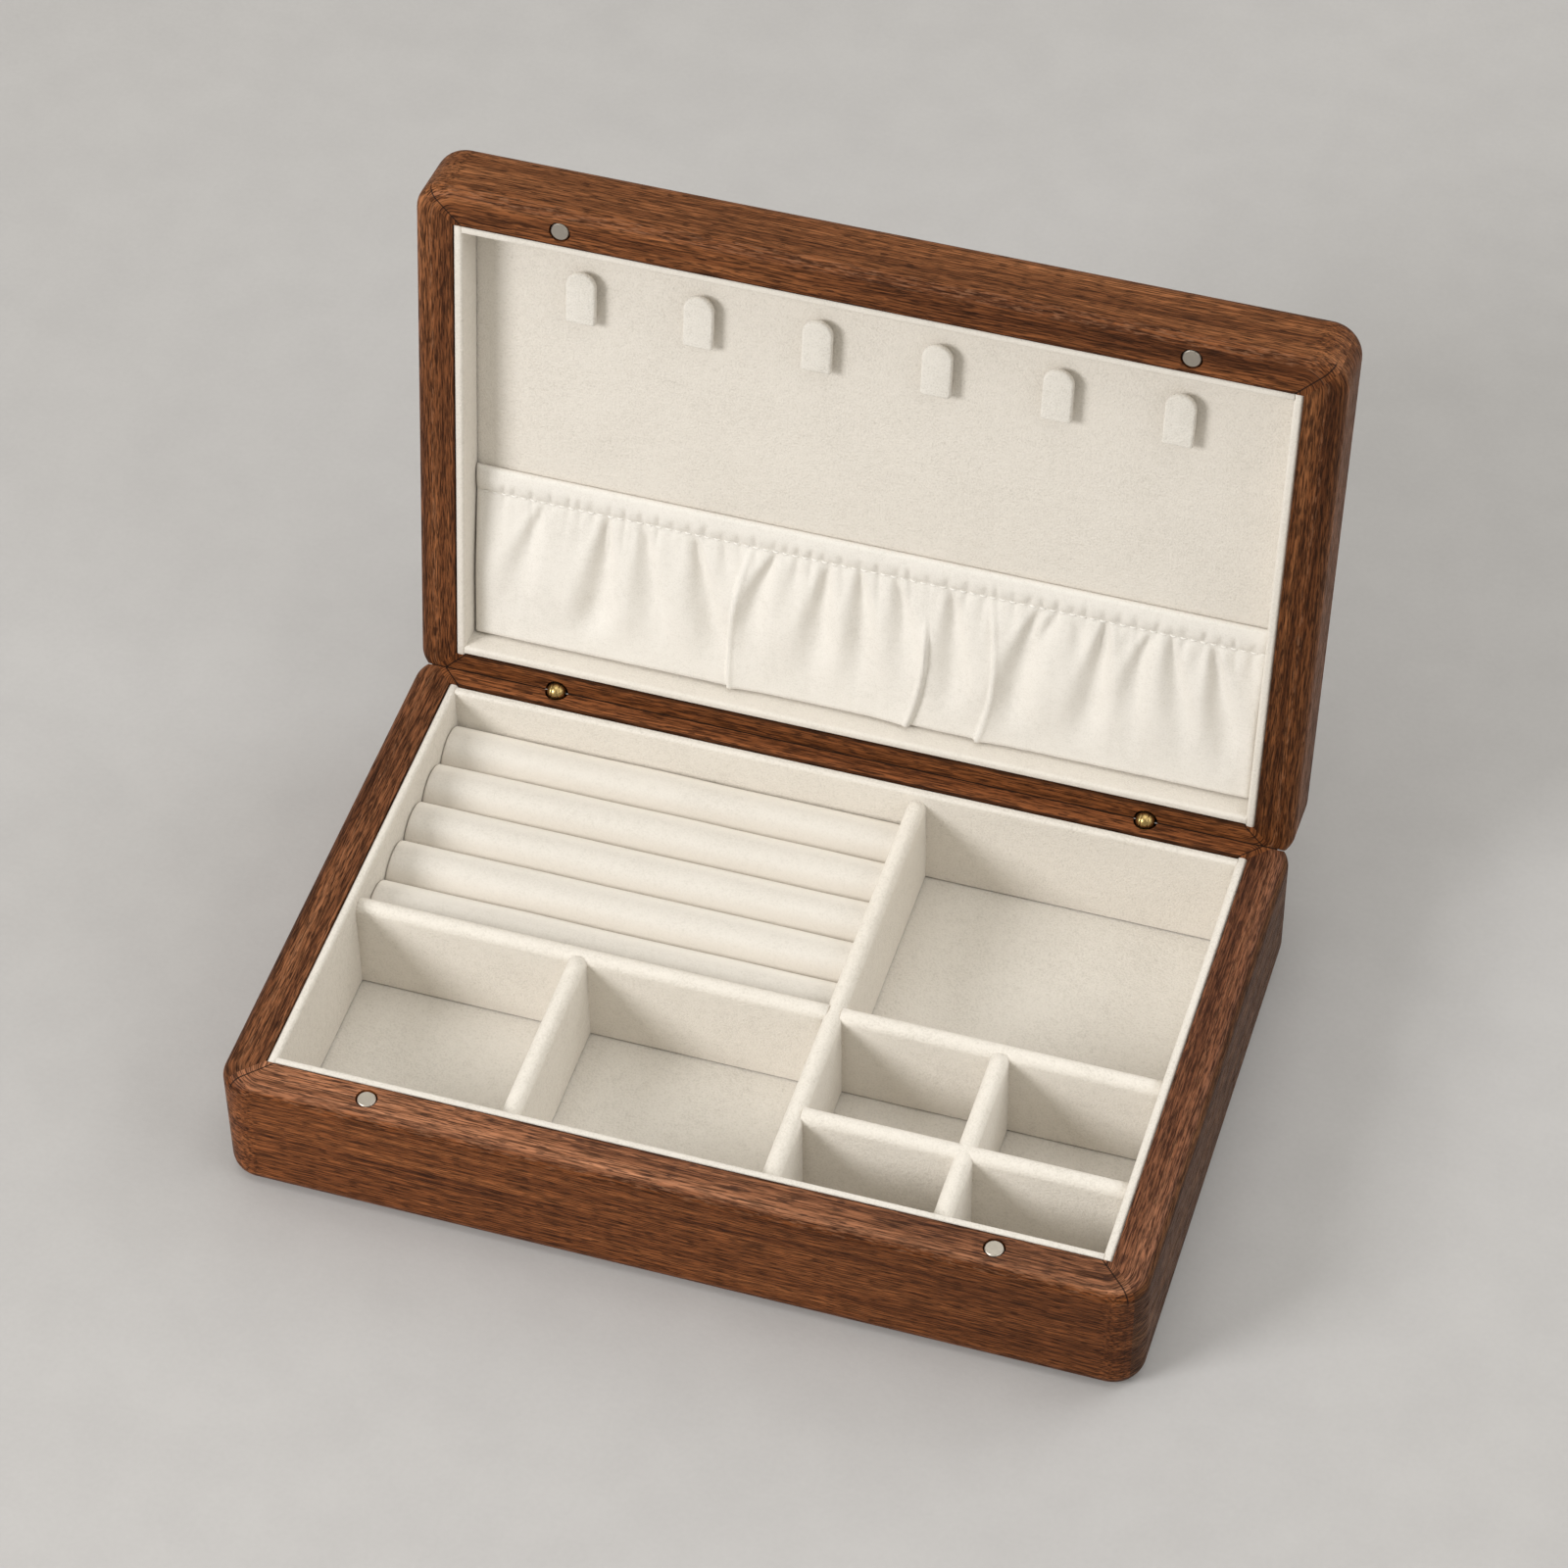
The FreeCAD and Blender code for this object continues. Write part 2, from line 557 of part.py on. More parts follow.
def lid_pieces():
    """Every piece of the lid, by name, as it lies when the lid is shut."""
    walls_z = (LID_RIM_Z + LINING_RECESS, LID_LINING_Z)
    pieces = lid_rails()
    pieces["lid_top_panel"] = panel(TOP_RABBET, (LID_PANEL_Z, LID_TOP_Z), LID_TOP_Z)
    pieces["lid_back_lining_panel"] = lining_board((LID_LINING_Z, LID_PANEL_Z))
    for side, wall in lining_walls(walls_z, walls_z[0]).items():
        pieces[f"lid_{side}_lining"] = wall
    for number in range(HOOK_COUNT):
        end_x = LINED_X - HOOK_END_INSET
        x = end_x * (2 * number / (HOOK_COUNT - 1) - 1)
        pieces[f"necklace_hook_{number + 1}"] = necklace_hook(x)
    pieces["pocket_cloth"] = pocket_cloth()
    pieces["pocket_hem"] = pocket_hem()
    pieces["pocket_elastic"] = pocket_elastic()
    for side, sign in SIDES.items():
        pieces[f"lid_{side}_magnet"] = mirrored_in_hinge_plane(disc_magnet(sign))
        pieces[f"{side}_hinge_lid_barrel"] = hinge_lid_barrel(sign * HINGE_X)
    return pieces


def main():
    os.makedirs("parts", exist_ok=True)
    pieces = base_pieces()
    for name, piece in lid_pieces().items():
        pieces[name] = swung_open(piece)
    for name, piece in pieces.items():
        piece.exportStep(f"parts/{name}.step")
    print(f"{len(pieces)} pieces, {sum(len(p.Solids) for p in pieces.values())} solids")


main()
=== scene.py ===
"""Looks of the wooden jewelry box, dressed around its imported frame.

Lengths are millimetres and are turned into metres where a mesh or the camera is made. The floor and the
lights are given in metres. Pieces of the lid are drawn as they lie when the lid is shut, and their objects
then carry the turn that opens it.
"""

import json
import math
import random

import bmesh
import bpy
import numpy as np
from mathutils import Matrix, Vector, noise

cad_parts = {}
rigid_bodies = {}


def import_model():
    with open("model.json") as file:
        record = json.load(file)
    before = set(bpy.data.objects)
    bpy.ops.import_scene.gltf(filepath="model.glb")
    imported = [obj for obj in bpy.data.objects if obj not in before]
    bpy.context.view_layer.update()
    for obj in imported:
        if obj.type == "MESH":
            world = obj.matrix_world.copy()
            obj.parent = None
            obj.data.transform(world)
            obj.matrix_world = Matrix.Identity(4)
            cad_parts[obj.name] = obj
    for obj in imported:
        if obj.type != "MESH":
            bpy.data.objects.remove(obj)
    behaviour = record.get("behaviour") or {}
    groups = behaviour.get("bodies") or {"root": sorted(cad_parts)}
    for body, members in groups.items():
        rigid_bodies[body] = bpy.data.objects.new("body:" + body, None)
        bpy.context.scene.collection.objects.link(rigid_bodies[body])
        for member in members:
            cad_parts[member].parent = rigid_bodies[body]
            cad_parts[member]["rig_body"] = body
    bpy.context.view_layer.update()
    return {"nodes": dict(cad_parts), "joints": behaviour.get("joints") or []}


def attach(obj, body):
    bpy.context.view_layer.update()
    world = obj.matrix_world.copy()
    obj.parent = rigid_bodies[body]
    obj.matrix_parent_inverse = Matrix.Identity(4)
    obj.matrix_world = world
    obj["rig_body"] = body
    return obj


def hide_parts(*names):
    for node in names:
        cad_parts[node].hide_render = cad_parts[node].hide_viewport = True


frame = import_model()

METRES = 0.001

# Camera at the photograph's angle
CAMERA_PLACE = (324.0, -991.5, 1249.2)
CAMERA_AIM = (-10.9, 55.5, 59.3)
CAMERA_ROLL = -0.75
CAMERA_LENS = 123.05
CAMERA_SENSOR = 36.0

# Floor, surround and lights: place, size, power and colour of each light
FLOOR_REACH = 6.0
FLOOR_TONES = ((0.482, 0.472, 0.470), (0.509, 0.499, 0.496))
SURROUND_COLOUR = (1.0, 0.962, 0.84, 1)
SURROUND_STRENGTH = 0.40
LIGHTS_AIM = (0.0, 0.02, 0.06)
LIGHTS = {
    "key": ((-1.35, -1.4, 1.15), 0.9, 32.6, (1.0, 0.99, 0.985)),
    "overhead": ((0.0, 0.0, 2.2), 1.8, 13.0, (1.0, 0.99, 0.98)),
    "fill": ((1.7, -0.4, 1.3), 1.4, 7.5, (1.0, 1.0, 1.0)),
    "back": ((1.35, 1.15, 1.25), 1.4, 11.0, (0.97, 0.98, 1.0)),
}

# Walnut: tint of each board against the common colour, and the tint of its flat rim, which is a painted sheen
BOARD_TINTS = {
    "base_front_rail": ((0.95, 0.89, 0.86), (1.49, 1.92, 3.1)),
    "base_left_rail": ((0.86, 0.94, 1.14), (1.1, 1.12, 1.25)),
    # The base's right rail is tinted darker to paint the shade on that side of the box
    "base_right_rail": ((0.48, 0.54, 0.63), (1.6, 1.6, 2.12)),
    "base_back_rail": ((1.02, 1.01, 1.03), (1.28, 1.32, 1.48)),
    "lid_front_rail": ((1.04, 1.1, 1.27), (1.03, 1.0, 0.95)),
    "lid_left_rail": ((0.90, 0.94, 1.09), (1.0, 1.0, 1.0)),
    "lid_right_rail": ((0.70, 0.73, 0.81), (1.0, 1.0, 1.0)),
    "lid_back_rail": ((0.95, 0.95, 1.0), (1.0, 1.0, 1.0)),
}
PLAIN_BOARD = ((0.93, 0.95, 1.0), (1.0, 1.0, 1.0))
# Tone at the box's left and right end of a board that changes along its length
BOARD_FADES = {"base_front_rail": (1.16, 0.83)}
# Share of the full figure on the boards with a plainer one
PLAIN_FIGURES = {"base_back_rail": 0.45, "lid_back_rail": 0.45}
# Browns at rising tones of the figure, and the tone that a plainer figure keeps near
WALNUT_STOPS = [
    (0.47, (0.074, 0.0235, 0.0074)),
    (0.555, (0.124, 0.0410, 0.0127)),
    (0.64, (0.166, 0.0575, 0.0182)),
    (0.75, (0.240, 0.0895, 0.0305)),
]
MEAN_TONE = 0.61
PORE_COLOUR = (0.026, 0.0090, 0.0040, 1)
# Lighter colour of the rim edges: rubbed wear and painted highlight
WORN_AND_HIGHLIGHT_COLOUR = (0.33, 0.155, 0.082, 1)
# Colour of the dark mitre joints and of the painted shade on the rim's inner edge
SEAM_AND_SHADE_COLOUR = (0.014, 0.007, 0.0045, 1)
# Sizes of the figure along the grain, across it and into the wood
DRIFT_SIZE = (110, 16, 16)
DRIFT_REACH = 3.2
BAND_SIZE = (260, 8, 9)
RING_SIZE = (110, 1.3, 1.9)
FLECK_LENGTH = 10.0
SIDE_FLECK_LENGTH = 6.5
FLECK_WIDTH = 0.46
PORE_SIZE = (4.2, 0.38, 0.38)
WEAR_HIGHLIGHT_SIZE = (3.4, 0.45, 0.45)
BOARD_SHIFT = 411.0
WOOD_BUMP = 0.075
# Edges: painted sheen on the flat rim, rubbed wear and painted highlight at its rounding, the mitres, and
# painted shade on the inner edge, with fading ranges
CORNER_RADIUS = 10.0
SHEEN_RANGE = (0.5, 3.2)
WEAR_HIGHLIGHT_PLACE = 2.6
WEAR_HIGHLIGHT_RANGE = (0.1, 1.2)
MITRE_RANGE = (0.2, 0.42)
INNER_SHADE_RANGE = (0.6, 0.2)

# Cloth colours; the rolls' facing colours are painted shade where they face the front and painted light where
# they face the back
IVORY = (0.775, 0.732, 0.670)
# A darker copy of the ivory that paints shade onto the tray floor
SHADED_TRAY_IVORY = (0.728, 0.690, 0.632)
# A lighter copy of the ivory that paints light onto the dividers
LIT_DIVIDER_IVORY = (0.797, 0.753, 0.687)
HOOK_IVORY = (0.790, 0.757, 0.702)
CLOTH_IVORY = (0.825, 0.795, 0.748)
ROLL_IVORY = (0.735, 0.699, 0.645)
ROLL_PAINTED_FACING = ((0.60, 0.545, 0.475, 1), (0.92, 0.885, 0.825, 1))
THREAD_WHITE = (0.90, 0.88, 0.84)
ELASTIC_WHITE = (0.7, 0.68, 0.62)
# Near-black colour of the strip that paints the seam's shade
SEAM_SHADE_BROWN = (0.020, 0.011, 0.007)
JOINT_SHADE = (0.13, 0.105, 0.075, 1)
CLUMP_SIZE = 2.4
PATCH_SIZE = 19.0

# Metal colours, and the size of scratches and tarnish
BRASS = (0.52, 0.37, 0.15)
NICKEL = (0.66, 0.61, 0.54)
# A darker copy of the nickel, painted shade for the lid's magnets
SHADED_NICKEL = (0.44, 0.405, 0.355)
BRASS_SCRATCHES = (0.5, 0.12, 0.12)
NICKEL_SCRATCHES = (0.9, 0.1, 0.9)
TARNISH_SIZE = 3.2

# Velvet boards: their rounding, how far they are let into their neighbours, and their slight waves
RIM_RADIUS = 1.2
RIM_LIFT = 0.5
DIVIDER_RADIUS = 2.9
FOOT_RADIUS = 0.6
BOARD_END = 0.2
DIVIDER_LET_IN = 1.2
WALL_LET_IN = 0.5
BOARD_STEP = 4.0
BOARD_WAVE = 0.12
BOARD_WAVE_LENGTH = 28.0
ROUNDING_TURNS = (45, 36, 27, 18, 9)

# Ring rolls
ROLL_COUNT = 5
ROLL_CROWN = 1.15
ROLL_STEP = 3.0
ROLL_ARC_STEPS = 20
ROLL_END_RADIUS = 0.9
ROLL_END_TURNS = (90, 70, 50, 30, 10)
ROLL_SWELL = 0.2
ROLL_SWELL_LENGTH = 31.0
ROLL_SWELL_WIDTH = 9.0
ROLL_SWELL_STEP = 7.3

# Necklace hooks
HOOK_COUNT = 6
HOOK_TIP_STEPS = 18
HOOK_EDGE_RADIUS = 0.95
HOOK_EDGE_STEPS = 4
HOOK_TOE_RADIUS = 1.0
HOOK_TOE_TURNS = (0, 30, 60, 90)
HOOK_PLATE = 2.2
HOOK_SETBACK = 0.9
HOOK_SLIMMING = 0.3
HOOK_LENGTHENING = 1.1
HOOK_STEM_HALF_WIDTH = 3.5
HOOK_STEM_HEIGHT = 6.5
HOOK_STEM_RADIUS = 0.5

# Gathered pocket: heights run from the mouth towards the foot, stands are measured out from the lid lining
POCKET_STEP_X = 0.6
POCKET_STEP_Y = 0.85
CLOTH_THICKNESS = 0.55
CLOTH_GAP = 0.3
LEAST_STAND = 1.1
BULGE_STAND = 5.2
BULGE_FALL = 36.0
EDGE_ROLL = 2.2
EDGE_SHARE = 0.25
HEM_STAND = 2.3
HEM_PUFF = 0.9
HEM_TURN = 1.4
HEM_TURN_STEPS = 8
HEM_BACK_STAND = 0.35
HEM_BACK_ROWS = 6
HEM_BACK_SHORTER = 0.5
# Depth, width and height of the creases all over the cloth
CREPES = [(0.15, 5.0, 13.0), (0.08, 2.3, 6.0)]
CREPE_LAYER = 3.7

# Dimples that the elastic draws into the hem, and gathers below its stitches
PUCKER_SEED = 7
PUCKER_SPACING = (3.4, 6.2)
PUCKER_DEPTH = (0.4, 0.85)
PUCKER_WIDTH = (0.75, 1.2)
PUCKER_TALL = (1.1, 1.8)
PUCKER_LIFT = 0.8
PUCKER_MOUTH_RANGE = (1.0, 3.0)
PUCKER_LEFT_MARGIN = 9.0
PUCKER_RIGHT_MARGIN = 3.0
GATHER_DEPTH = (0.3, 0.8)
GATHER_FADE = 6.0
GATHER_FADE_SHARE = (0.5, 1.4)
GATHER_LEAN = 0.12

# Stitches along the hem, and the dip that they draw into the cloth
STITCH_PITCH = 3.1
STITCH_LENGTH = 2.2
STITCH_RADIUS = 0.3
STITCH_STEPS = 8
STITCH_SIDES = 8
STITCH_TIP = 0.15
STITCH_TAPER = 0.6
STITCH_ARCH = 0.4
STITCH_MARGIN = 2.0
STITCH_STAND = 1.9
STITCH_DIP = 0.6

# Pocket folds, left to right: place at the top, middle and low height, depth, and height where it has faded
FOLDS = [
    (-103.2, -108.5, -113.0, 1.1, 64),
    (-82.8, -83.5, -86.5, 2.1, 78),
    (-70.2, -68.3, -66.0, 1.3, 68),
    (-54.4, -50.6, -46.0, 1.9, 74),
    (-45.0, -42.8, -41.5, 1.0, 38),
    (-28.8, -34.8, -36.5, 1.6, 68),
    (-21.8, -23.6, -25.0, 0.8, 38),
    (-12.3, -13.8, -14.8, 1.9, 68),
    (-2.3, -0.6, -0.9, 1.7, 68),
    (9.4, 13.0, 13.7, 1.5, 58),
    (14.9, 14.2, 13.2, 0.8, 34),
    (26.6, 28.4, 28.5, 1.7, 72),
    (30.5, 30.7, 31.2, 0.8, 34),
    (53.5, 49.7, 48.0, 1.9, 76),
    (58.5, 53.5, 50.0, 1.2, 46),
    (65.8, 68.0, 69.0, 0.8, 46),
    (74.6, 73.2, 71.5, 2.1, 74),
    (81.4, 81.0, 80.0, 0.8, 34),
    (88.2, 84.6, 84.1, 1.4, 68),
    (94.4, 98.2, 102.4, 1.5, 68),
    (103.4, 103.6, 104.0, 0.8, 34),
    (107.6, 111.6, 114.6, 1.9, 72),
    (113.6, 114.4, 115.5, 0.6, 33),
    (119.2, 121.0, 122.0, 0.6, 35),
]
FOLD_HEIGHTS = (24.0, 43.0, 62.0)
FOLD_GAIN = 1.45
FOLD_SHIFT = 0.4
# Half-width at the hem and its growth below, on the left and the right of a fold's bottom
FOLD_HALF_WIDTHS = ((1.1, 3.5), (1.2, 4.1))
# Heights past the hem where folds widen and deepen, and heights about the faded end where they flatten
FOLD_WIDEN_RANGE = (-4.0, 34.0)
FOLD_DEEPEN_RANGE = (-2.0, 8.0)
FOLD_FLATTEN_RANGE = (-22.0, 8.0)
FOLD_FOOT_MARGIN = 5.0

# Pleats: the side that lies on top, the edge's place at the top, middle and low height, and where it starts
PLEATS = [
    (1, -36.9, -40.4, -41.7, 20.0),
    (-1, 18.3, 21.0, 19.8, 32.0),
    (1, 38.6, 41.9, 41.0, 23.0),
]
PLEAT_LOWEST = 80.0
PLEAT_START_RUN = 12.0
PLEAT_RISE = 1.7
PLEAT_EDGE = 0.45
PLEAT_RUN = 5.5
PLEAT_BEAD = 0.5
PLEAT_BEAD_PLACE = 0.6
PLEAT_BEAD_WIDTH = 0.7

# Brass hinges, nickel magnets and the dark strip that paints the seam's shade
TURNED_STEPS = 40
CORE_RADIUS = 0.4
BALL_RADIUS = 3.1
BALL_HALF_LENGTH = 2.85
BALL_STEPS = 9
BALL_EASE = 0.12
EYE_HALF_THICKNESS = 1.1
EYE_GAP = 0.1
NECK_HALF_WIDTH = 1.8
NECK_ROOT = 1.0
NECK_EDGE = 0.15
NECK_FOOT = 0.1
BARREL_SINK = 4.65
BARREL_EASE = 0.3
MAGNET_EDGE = 0.25
MAGNET_RING = 0.2
SEAM_HALF_THICKNESS = 0.14
SEAM_EDGE = 0.084
SEAM_STEP = 9.0
SEAM_END = 1.4
SEAM_FIT = 0.1

joint = frame["joints"][0]
hinge = Vector(joint["pos_m"])
swing = math.radians(joint["range_deg"][1])
shutting = Matrix.Translation(hinge) @ Matrix.Rotation(swing, 4, "X") @ Matrix.Translation(-hinge)
opening = shutting.inverted()
hinge_mm = np.array(hinge) / METRES


def body_of(node):
    """The CAD body that a node belongs to."""
    return frame["nodes"][node]["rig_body"]


def shut_box(node):
    """Lowest and highest corner of a node, in millimetres, with the lid shut."""
    turn = shutting if body_of(node) == "lid" else Matrix.Identity(4)
    corners = np.array([turn @ v.co for v in frame["nodes"][node].data.vertices]) / METRES
    return corners.min(0), corners.max(0)


def smooth(low, high, value):
    """Smooth step from 0 at low to 1 at high."""
    t = np.clip((value - low) / (high - low), 0, 1)
    return t * t * (3 - 2 * t)


# The box, from its front rail
front_low, front_high = shut_box("base_front_rail")
box_half_width = front_high[0]
box_half_depth = -front_low[1]
rail_thickness = front_high[1] - front_low[1]


# Materials

def set_inputs(tree, made, inputs):
    """Sets a shader node's sockets to values, or links them to other nodes' outputs."""
    for name, value in inputs.items():
        if isinstance(value, bpy.types.NodeSocket):
            tree.links.new(value, made.inputs[name])
        else:
            made.inputs[name].default_value = value


def put(tree, kind, inputs=None, **settings):
    """Adds a shader node with its settings and inputs."""
    made = tree.nodes.new("ShaderNode" + kind)
    for name, value in settings.items():
        setattr(made, name, value)
    set_inputs(tree, made, inputs or {})
    return made


def calc(tree, operation, a, b=0.0, c=0.0):
    """Output of a math node."""
    return put(tree, "Math", {0: a, 1: b, 2: c}, operation=operation).outputs[0]


def ramp(tree, value, low, high, to_low=0.0, to_high=1.0):
    """Value carried smoothly from one range to another and held at its ends."""
    inputs = {"Value": value, "From Min": low, "From Max": high, "To Min": to_low, "To Max": to_high}
    return put(tree, "MapRange", inputs, interpolation_type="SMOOTHSTEP").outputs["Result"]


def speckle(tree, place, size, detail=2.0, roughness=0.5):
    """Noise with spots of about the given size, in millimetres, along each axis of place."""
    scale = tuple(1 / s for s in size)
    scaled = put(tree, "VectorMath", {0: place, 1: scale}, operation="MULTIPLY").outputs[0]
    inputs = {"Vector": scaled, "Scale": 1.0, "Detail": detail, "Roughness": roughness}
    return put(tree, "TexNoise", inputs).outputs["Fac"]


def blend(tree, amount, first, second, how="MIX"):
    """Colour mixed from two by an amount."""
    mix = put(tree, "Mix", {0: amount, 6: first, 7: second}, data_type="RGBA", blend_type=how)
    return mix.outputs[2]


def coloured(tree, value, stops):
    """Colour ramp through (place, colour) stops."""
    made = put(tree, "ValToRGB", {"Fac": value})
    elements = made.color_ramp.elements
    while len(elements) < len(stops):
        elements.new(0.5)
    for element, (place, colour) in zip(elements, stops):
        element.position = place
        element.color = (*colour, 1)
    return made.outputs["Color"]


def tinted(colour, tint):
    """A colour times a tint."""
    return tuple(c * k for c, k in zip(colour, tint))


def facing(tree, axis):
    """How far the surface faces along an axis, from -1 to 1."""
    normal = put(tree, "NewGeometry").outputs["Normal"]
    return put(tree, "SeparateXYZ", {0: normal}).outputs[axis]


def new_material(name, turn=None):
    """A node material with its tree, its surface shader, and the place on the piece in millimetres.

    A turn, given in metres, is applied to the place first.
    """
    material = bpy.data.materials.new(name)
    material.use_nodes = True
    tree = material.node_tree
    tree.nodes.clear()
    shader = put(tree, "BsdfPrincipled")
    put(tree, "OutputMaterial", {"Surface": shader.outputs[0]})
    place = put(tree, "TexCoord").outputs["Object"]
    if turn is not None:
        inputs = {"Vector": place, "Location": turn.translation, "Rotation": turn.to_euler()}
        place = put(tree, "Mapping", inputs).outputs[0]
    place = put(tree, "VectorMath", {0: place, "Scale": 1 / METRES}, operation="SCALE").outputs[0]
    return material, tree, shader, place


def finish_shader(tree, shader, values, height, depth, strength=1.0):
    """Sets the shader's sockets and gives it bumps of a depth in millimetres."""
    bump = put(tree, "Bump", {"Height": height, "Strength": strength, "Distance": depth * METRES})
    set_inputs(tree, shader, {**values, "Normal": bump.outputs[0]})


def walnut(name, axes, shift, on_lid, tint, rim_sheen_tint, fade, figure):
    """Oiled walnut with its grain along the first of three axes, which are X, Y and Z of the shut box.

    A rail's third axis is its depth below the outer sides, so that its figure turns with the rounded corners.
    """
    material, tree, shader, place = new_material(name, shutting if on_lid else None)
    part = put(tree, "SeparateXYZ", {0: place})
    along, across, deep = (part.outputs[axis] for axis in axes)
    inset = from_sides(tree, part)
    if axes[1] == 2:
        deep = inset
    along = calc(tree, "ADD", along, shift)
    grain = put(tree, "CombineXYZ", {0: along, 1: across, 2: deep}).outputs[0]
    drift = speckle(tree, grain, DRIFT_SIZE, detail=1.0)
    wander = calc(tree, "MULTIPLY_ADD", drift, DRIFT_REACH, across)
    wavy = put(tree, "CombineXYZ", {0: along, 1: wander, 2: deep}).outputs[0]
    bands = speckle(tree, wavy, BAND_SIZE)
    rings = speckle(tree, wavy, RING_SIZE, detail=4.0, roughness=0.7)
    fleck_length = SIDE_FLECK_LENGTH if axes[0] == 1 else FLECK_LENGTH
    flecks = speckle(tree, wavy, (fleck_length, FLECK_WIDTH, FLECK_WIDTH), detail=3.0, roughness=0.65)
    pores = ramp(tree, speckle(tree, wavy, PORE_SIZE, detail=0.0), 0.58, 0.70)
    tone = calc(tree, "MULTIPLY_ADD", bands, 0.6, calc(tree, "MULTIPLY", rings, 0.62))
    tone = calc(tree, "MULTIPLY_ADD", calc(tree, "SUBTRACT", tone, MEAN_TONE), figure, MEAN_TONE)
    colour = coloured(tree, tone, [(at, tinted(shade, tint)) for at, shade in WALNUT_STOPS])
    streak = ramp(tree, flecks, 0.34, 0.66, 0.38, 1.76)
    if fade is not None:
        along_box = ramp(tree, part.outputs[0], -box_half_width, box_half_width, *fade)
        streak = calc(tree, "MULTIPLY", streak, along_box)
    streaks = put(tree, "CombineColor", {i: streak for i in range(3)}).outputs[0]
    colour = blend(tree, 1.0, colour, streaks, "MULTIPLY")
    colour = blend(tree, calc(tree, "MULTIPLY", pores, 0.7), colour, PORE_COLOUR)
    from_rim = calc(tree, "ABSOLUTE", calc(tree, "SUBTRACT", part.outputs[2], hinge_mm[2]))
    # Painted sheen on the flat rim, on the base only where the rim faces up
    painted_sheen = ramp(tree, from_rim, *SHEEN_RANGE, 1.0, 0.0)
    if not on_lid:
        painted_sheen = calc(tree, "MULTIPLY", painted_sheen, ramp(tree, facing(tree, 2), 0.55, 0.95))
    colour = blend(tree, painted_sheen, colour, (*rim_sheen_tint, 1), "MULTIPLY")
    # Lighter rim edges: rubbed wear and painted highlight
    colour = blend(tree, edge_wear_and_highlight(tree, from_rim, inset, grain), colour, WORN_AND_HIGHLIGHT_COLOUR)
    # Dark mitre joints, and painted shade on the rim's inner edge
    seams_and_shade = calc(tree, "MAXIMUM", mitre_line(tree, part, from_rim), inner_edge_shade(tree, from_rim, inset))
    colour = blend(tree, seams_and_shade, colour, SEAM_AND_SHADE_COLOUR)
    height = calc(tree, "MULTIPLY_ADD", pores, -1.0, calc(tree, "MULTIPLY", flecks, 0.5))
    gloss = calc(tree, "MULTIPLY_ADD", pores, 0.25, ramp(tree, flecks, 0.3, 0.7, 0.52, 0.4))
    values = {"Base Color": colour, "Roughness": gloss, "Specular IOR Level": 0.1}
    finish_shader(tree, shader, values, height, WOOD_BUMP)
    return material


def from_sides(tree, part):
    """Distance in from the outer sides of the box and their rounded corners."""
    out_x, out_y = (calc(tree, "ABSOLUTE", part.outputs[axis]) for axis in (0, 1))
    past_x = calc(tree, "SUBTRACT", out_x, box_half_width - CORNER_RADIUS)
    past_y = calc(tree, "SUBTRACT", out_y, box_half_depth - CORNER_RADIUS)
    beyond_x, beyond_y = (calc(tree, "MAXIMUM", past, 0.0) for past in (past_x, past_y))
    squares = calc(tree, "MULTIPLY_ADD", beyond_x, beyond_x, calc(tree, "MULTIPLY", beyond_y, beyond_y))
    inside = calc(tree, "MINIMUM", calc(tree, "MAXIMUM", past_x, past_y), 0.0)
    outward = calc(tree, "ADD", calc(tree, "SQRT", squares), inside)
    return calc(tree, "SUBTRACT", CORNER_RADIUS, outward)


def mitre_line(tree, part, from_rim):
    """Strength of the thin dark lines where rails meet on the box's diagonals, clearest on the flat rim."""
    out_x, out_y = (calc(tree, "ABSOLUTE", part.outputs[axis]) for axis in (0, 1))
    across = calc(tree, "SUBTRACT", calc(tree, "SUBTRACT", out_x, out_y), box_half_width - box_half_depth)
    line = ramp(tree, calc(tree, "ABSOLUTE", across), *MITRE_RANGE, 0.9, 0.0)
    return calc(tree, "MULTIPLY", line, ramp(tree, from_rim, 2.0, 6.0, 1.0, 0.2))


def inner_edge_shade(tree, from_rim, inset):
    """Strength of the painted shade on the inner edge of the rim, beside the lining."""
    start, full = (rail_thickness - depth for depth in INNER_SHADE_RANGE)
    edge = ramp(tree, inset, start, full, 0.0, 0.62)
    return calc(tree, "MULTIPLY", edge, ramp(tree, from_rim, 1.0, 2.5, 1.0, 0.0))


def edge_wear_and_highlight(tree, from_rim, inset, grain):
    """Strength of the lighter wood along the rounded rim edges, partly rubbed wear and partly painted
    highlight.
    """
    near = calc(tree, "SUBTRACT", calc(tree, "ADD", from_rim, inset), WEAR_HIGHLIGHT_PLACE)
    band = ramp(tree, calc(tree, "ABSOLUTE", near), *WEAR_HIGHLIGHT_RANGE, 0.38, 0.0)
    wear_and_highlight = ramp(tree, speckle(tree, grain, WEAR_HIGHLIGHT_SIZE), 0.51, 0.64)
    return calc(tree, "MULTIPLY", band, wear_and_highlight)


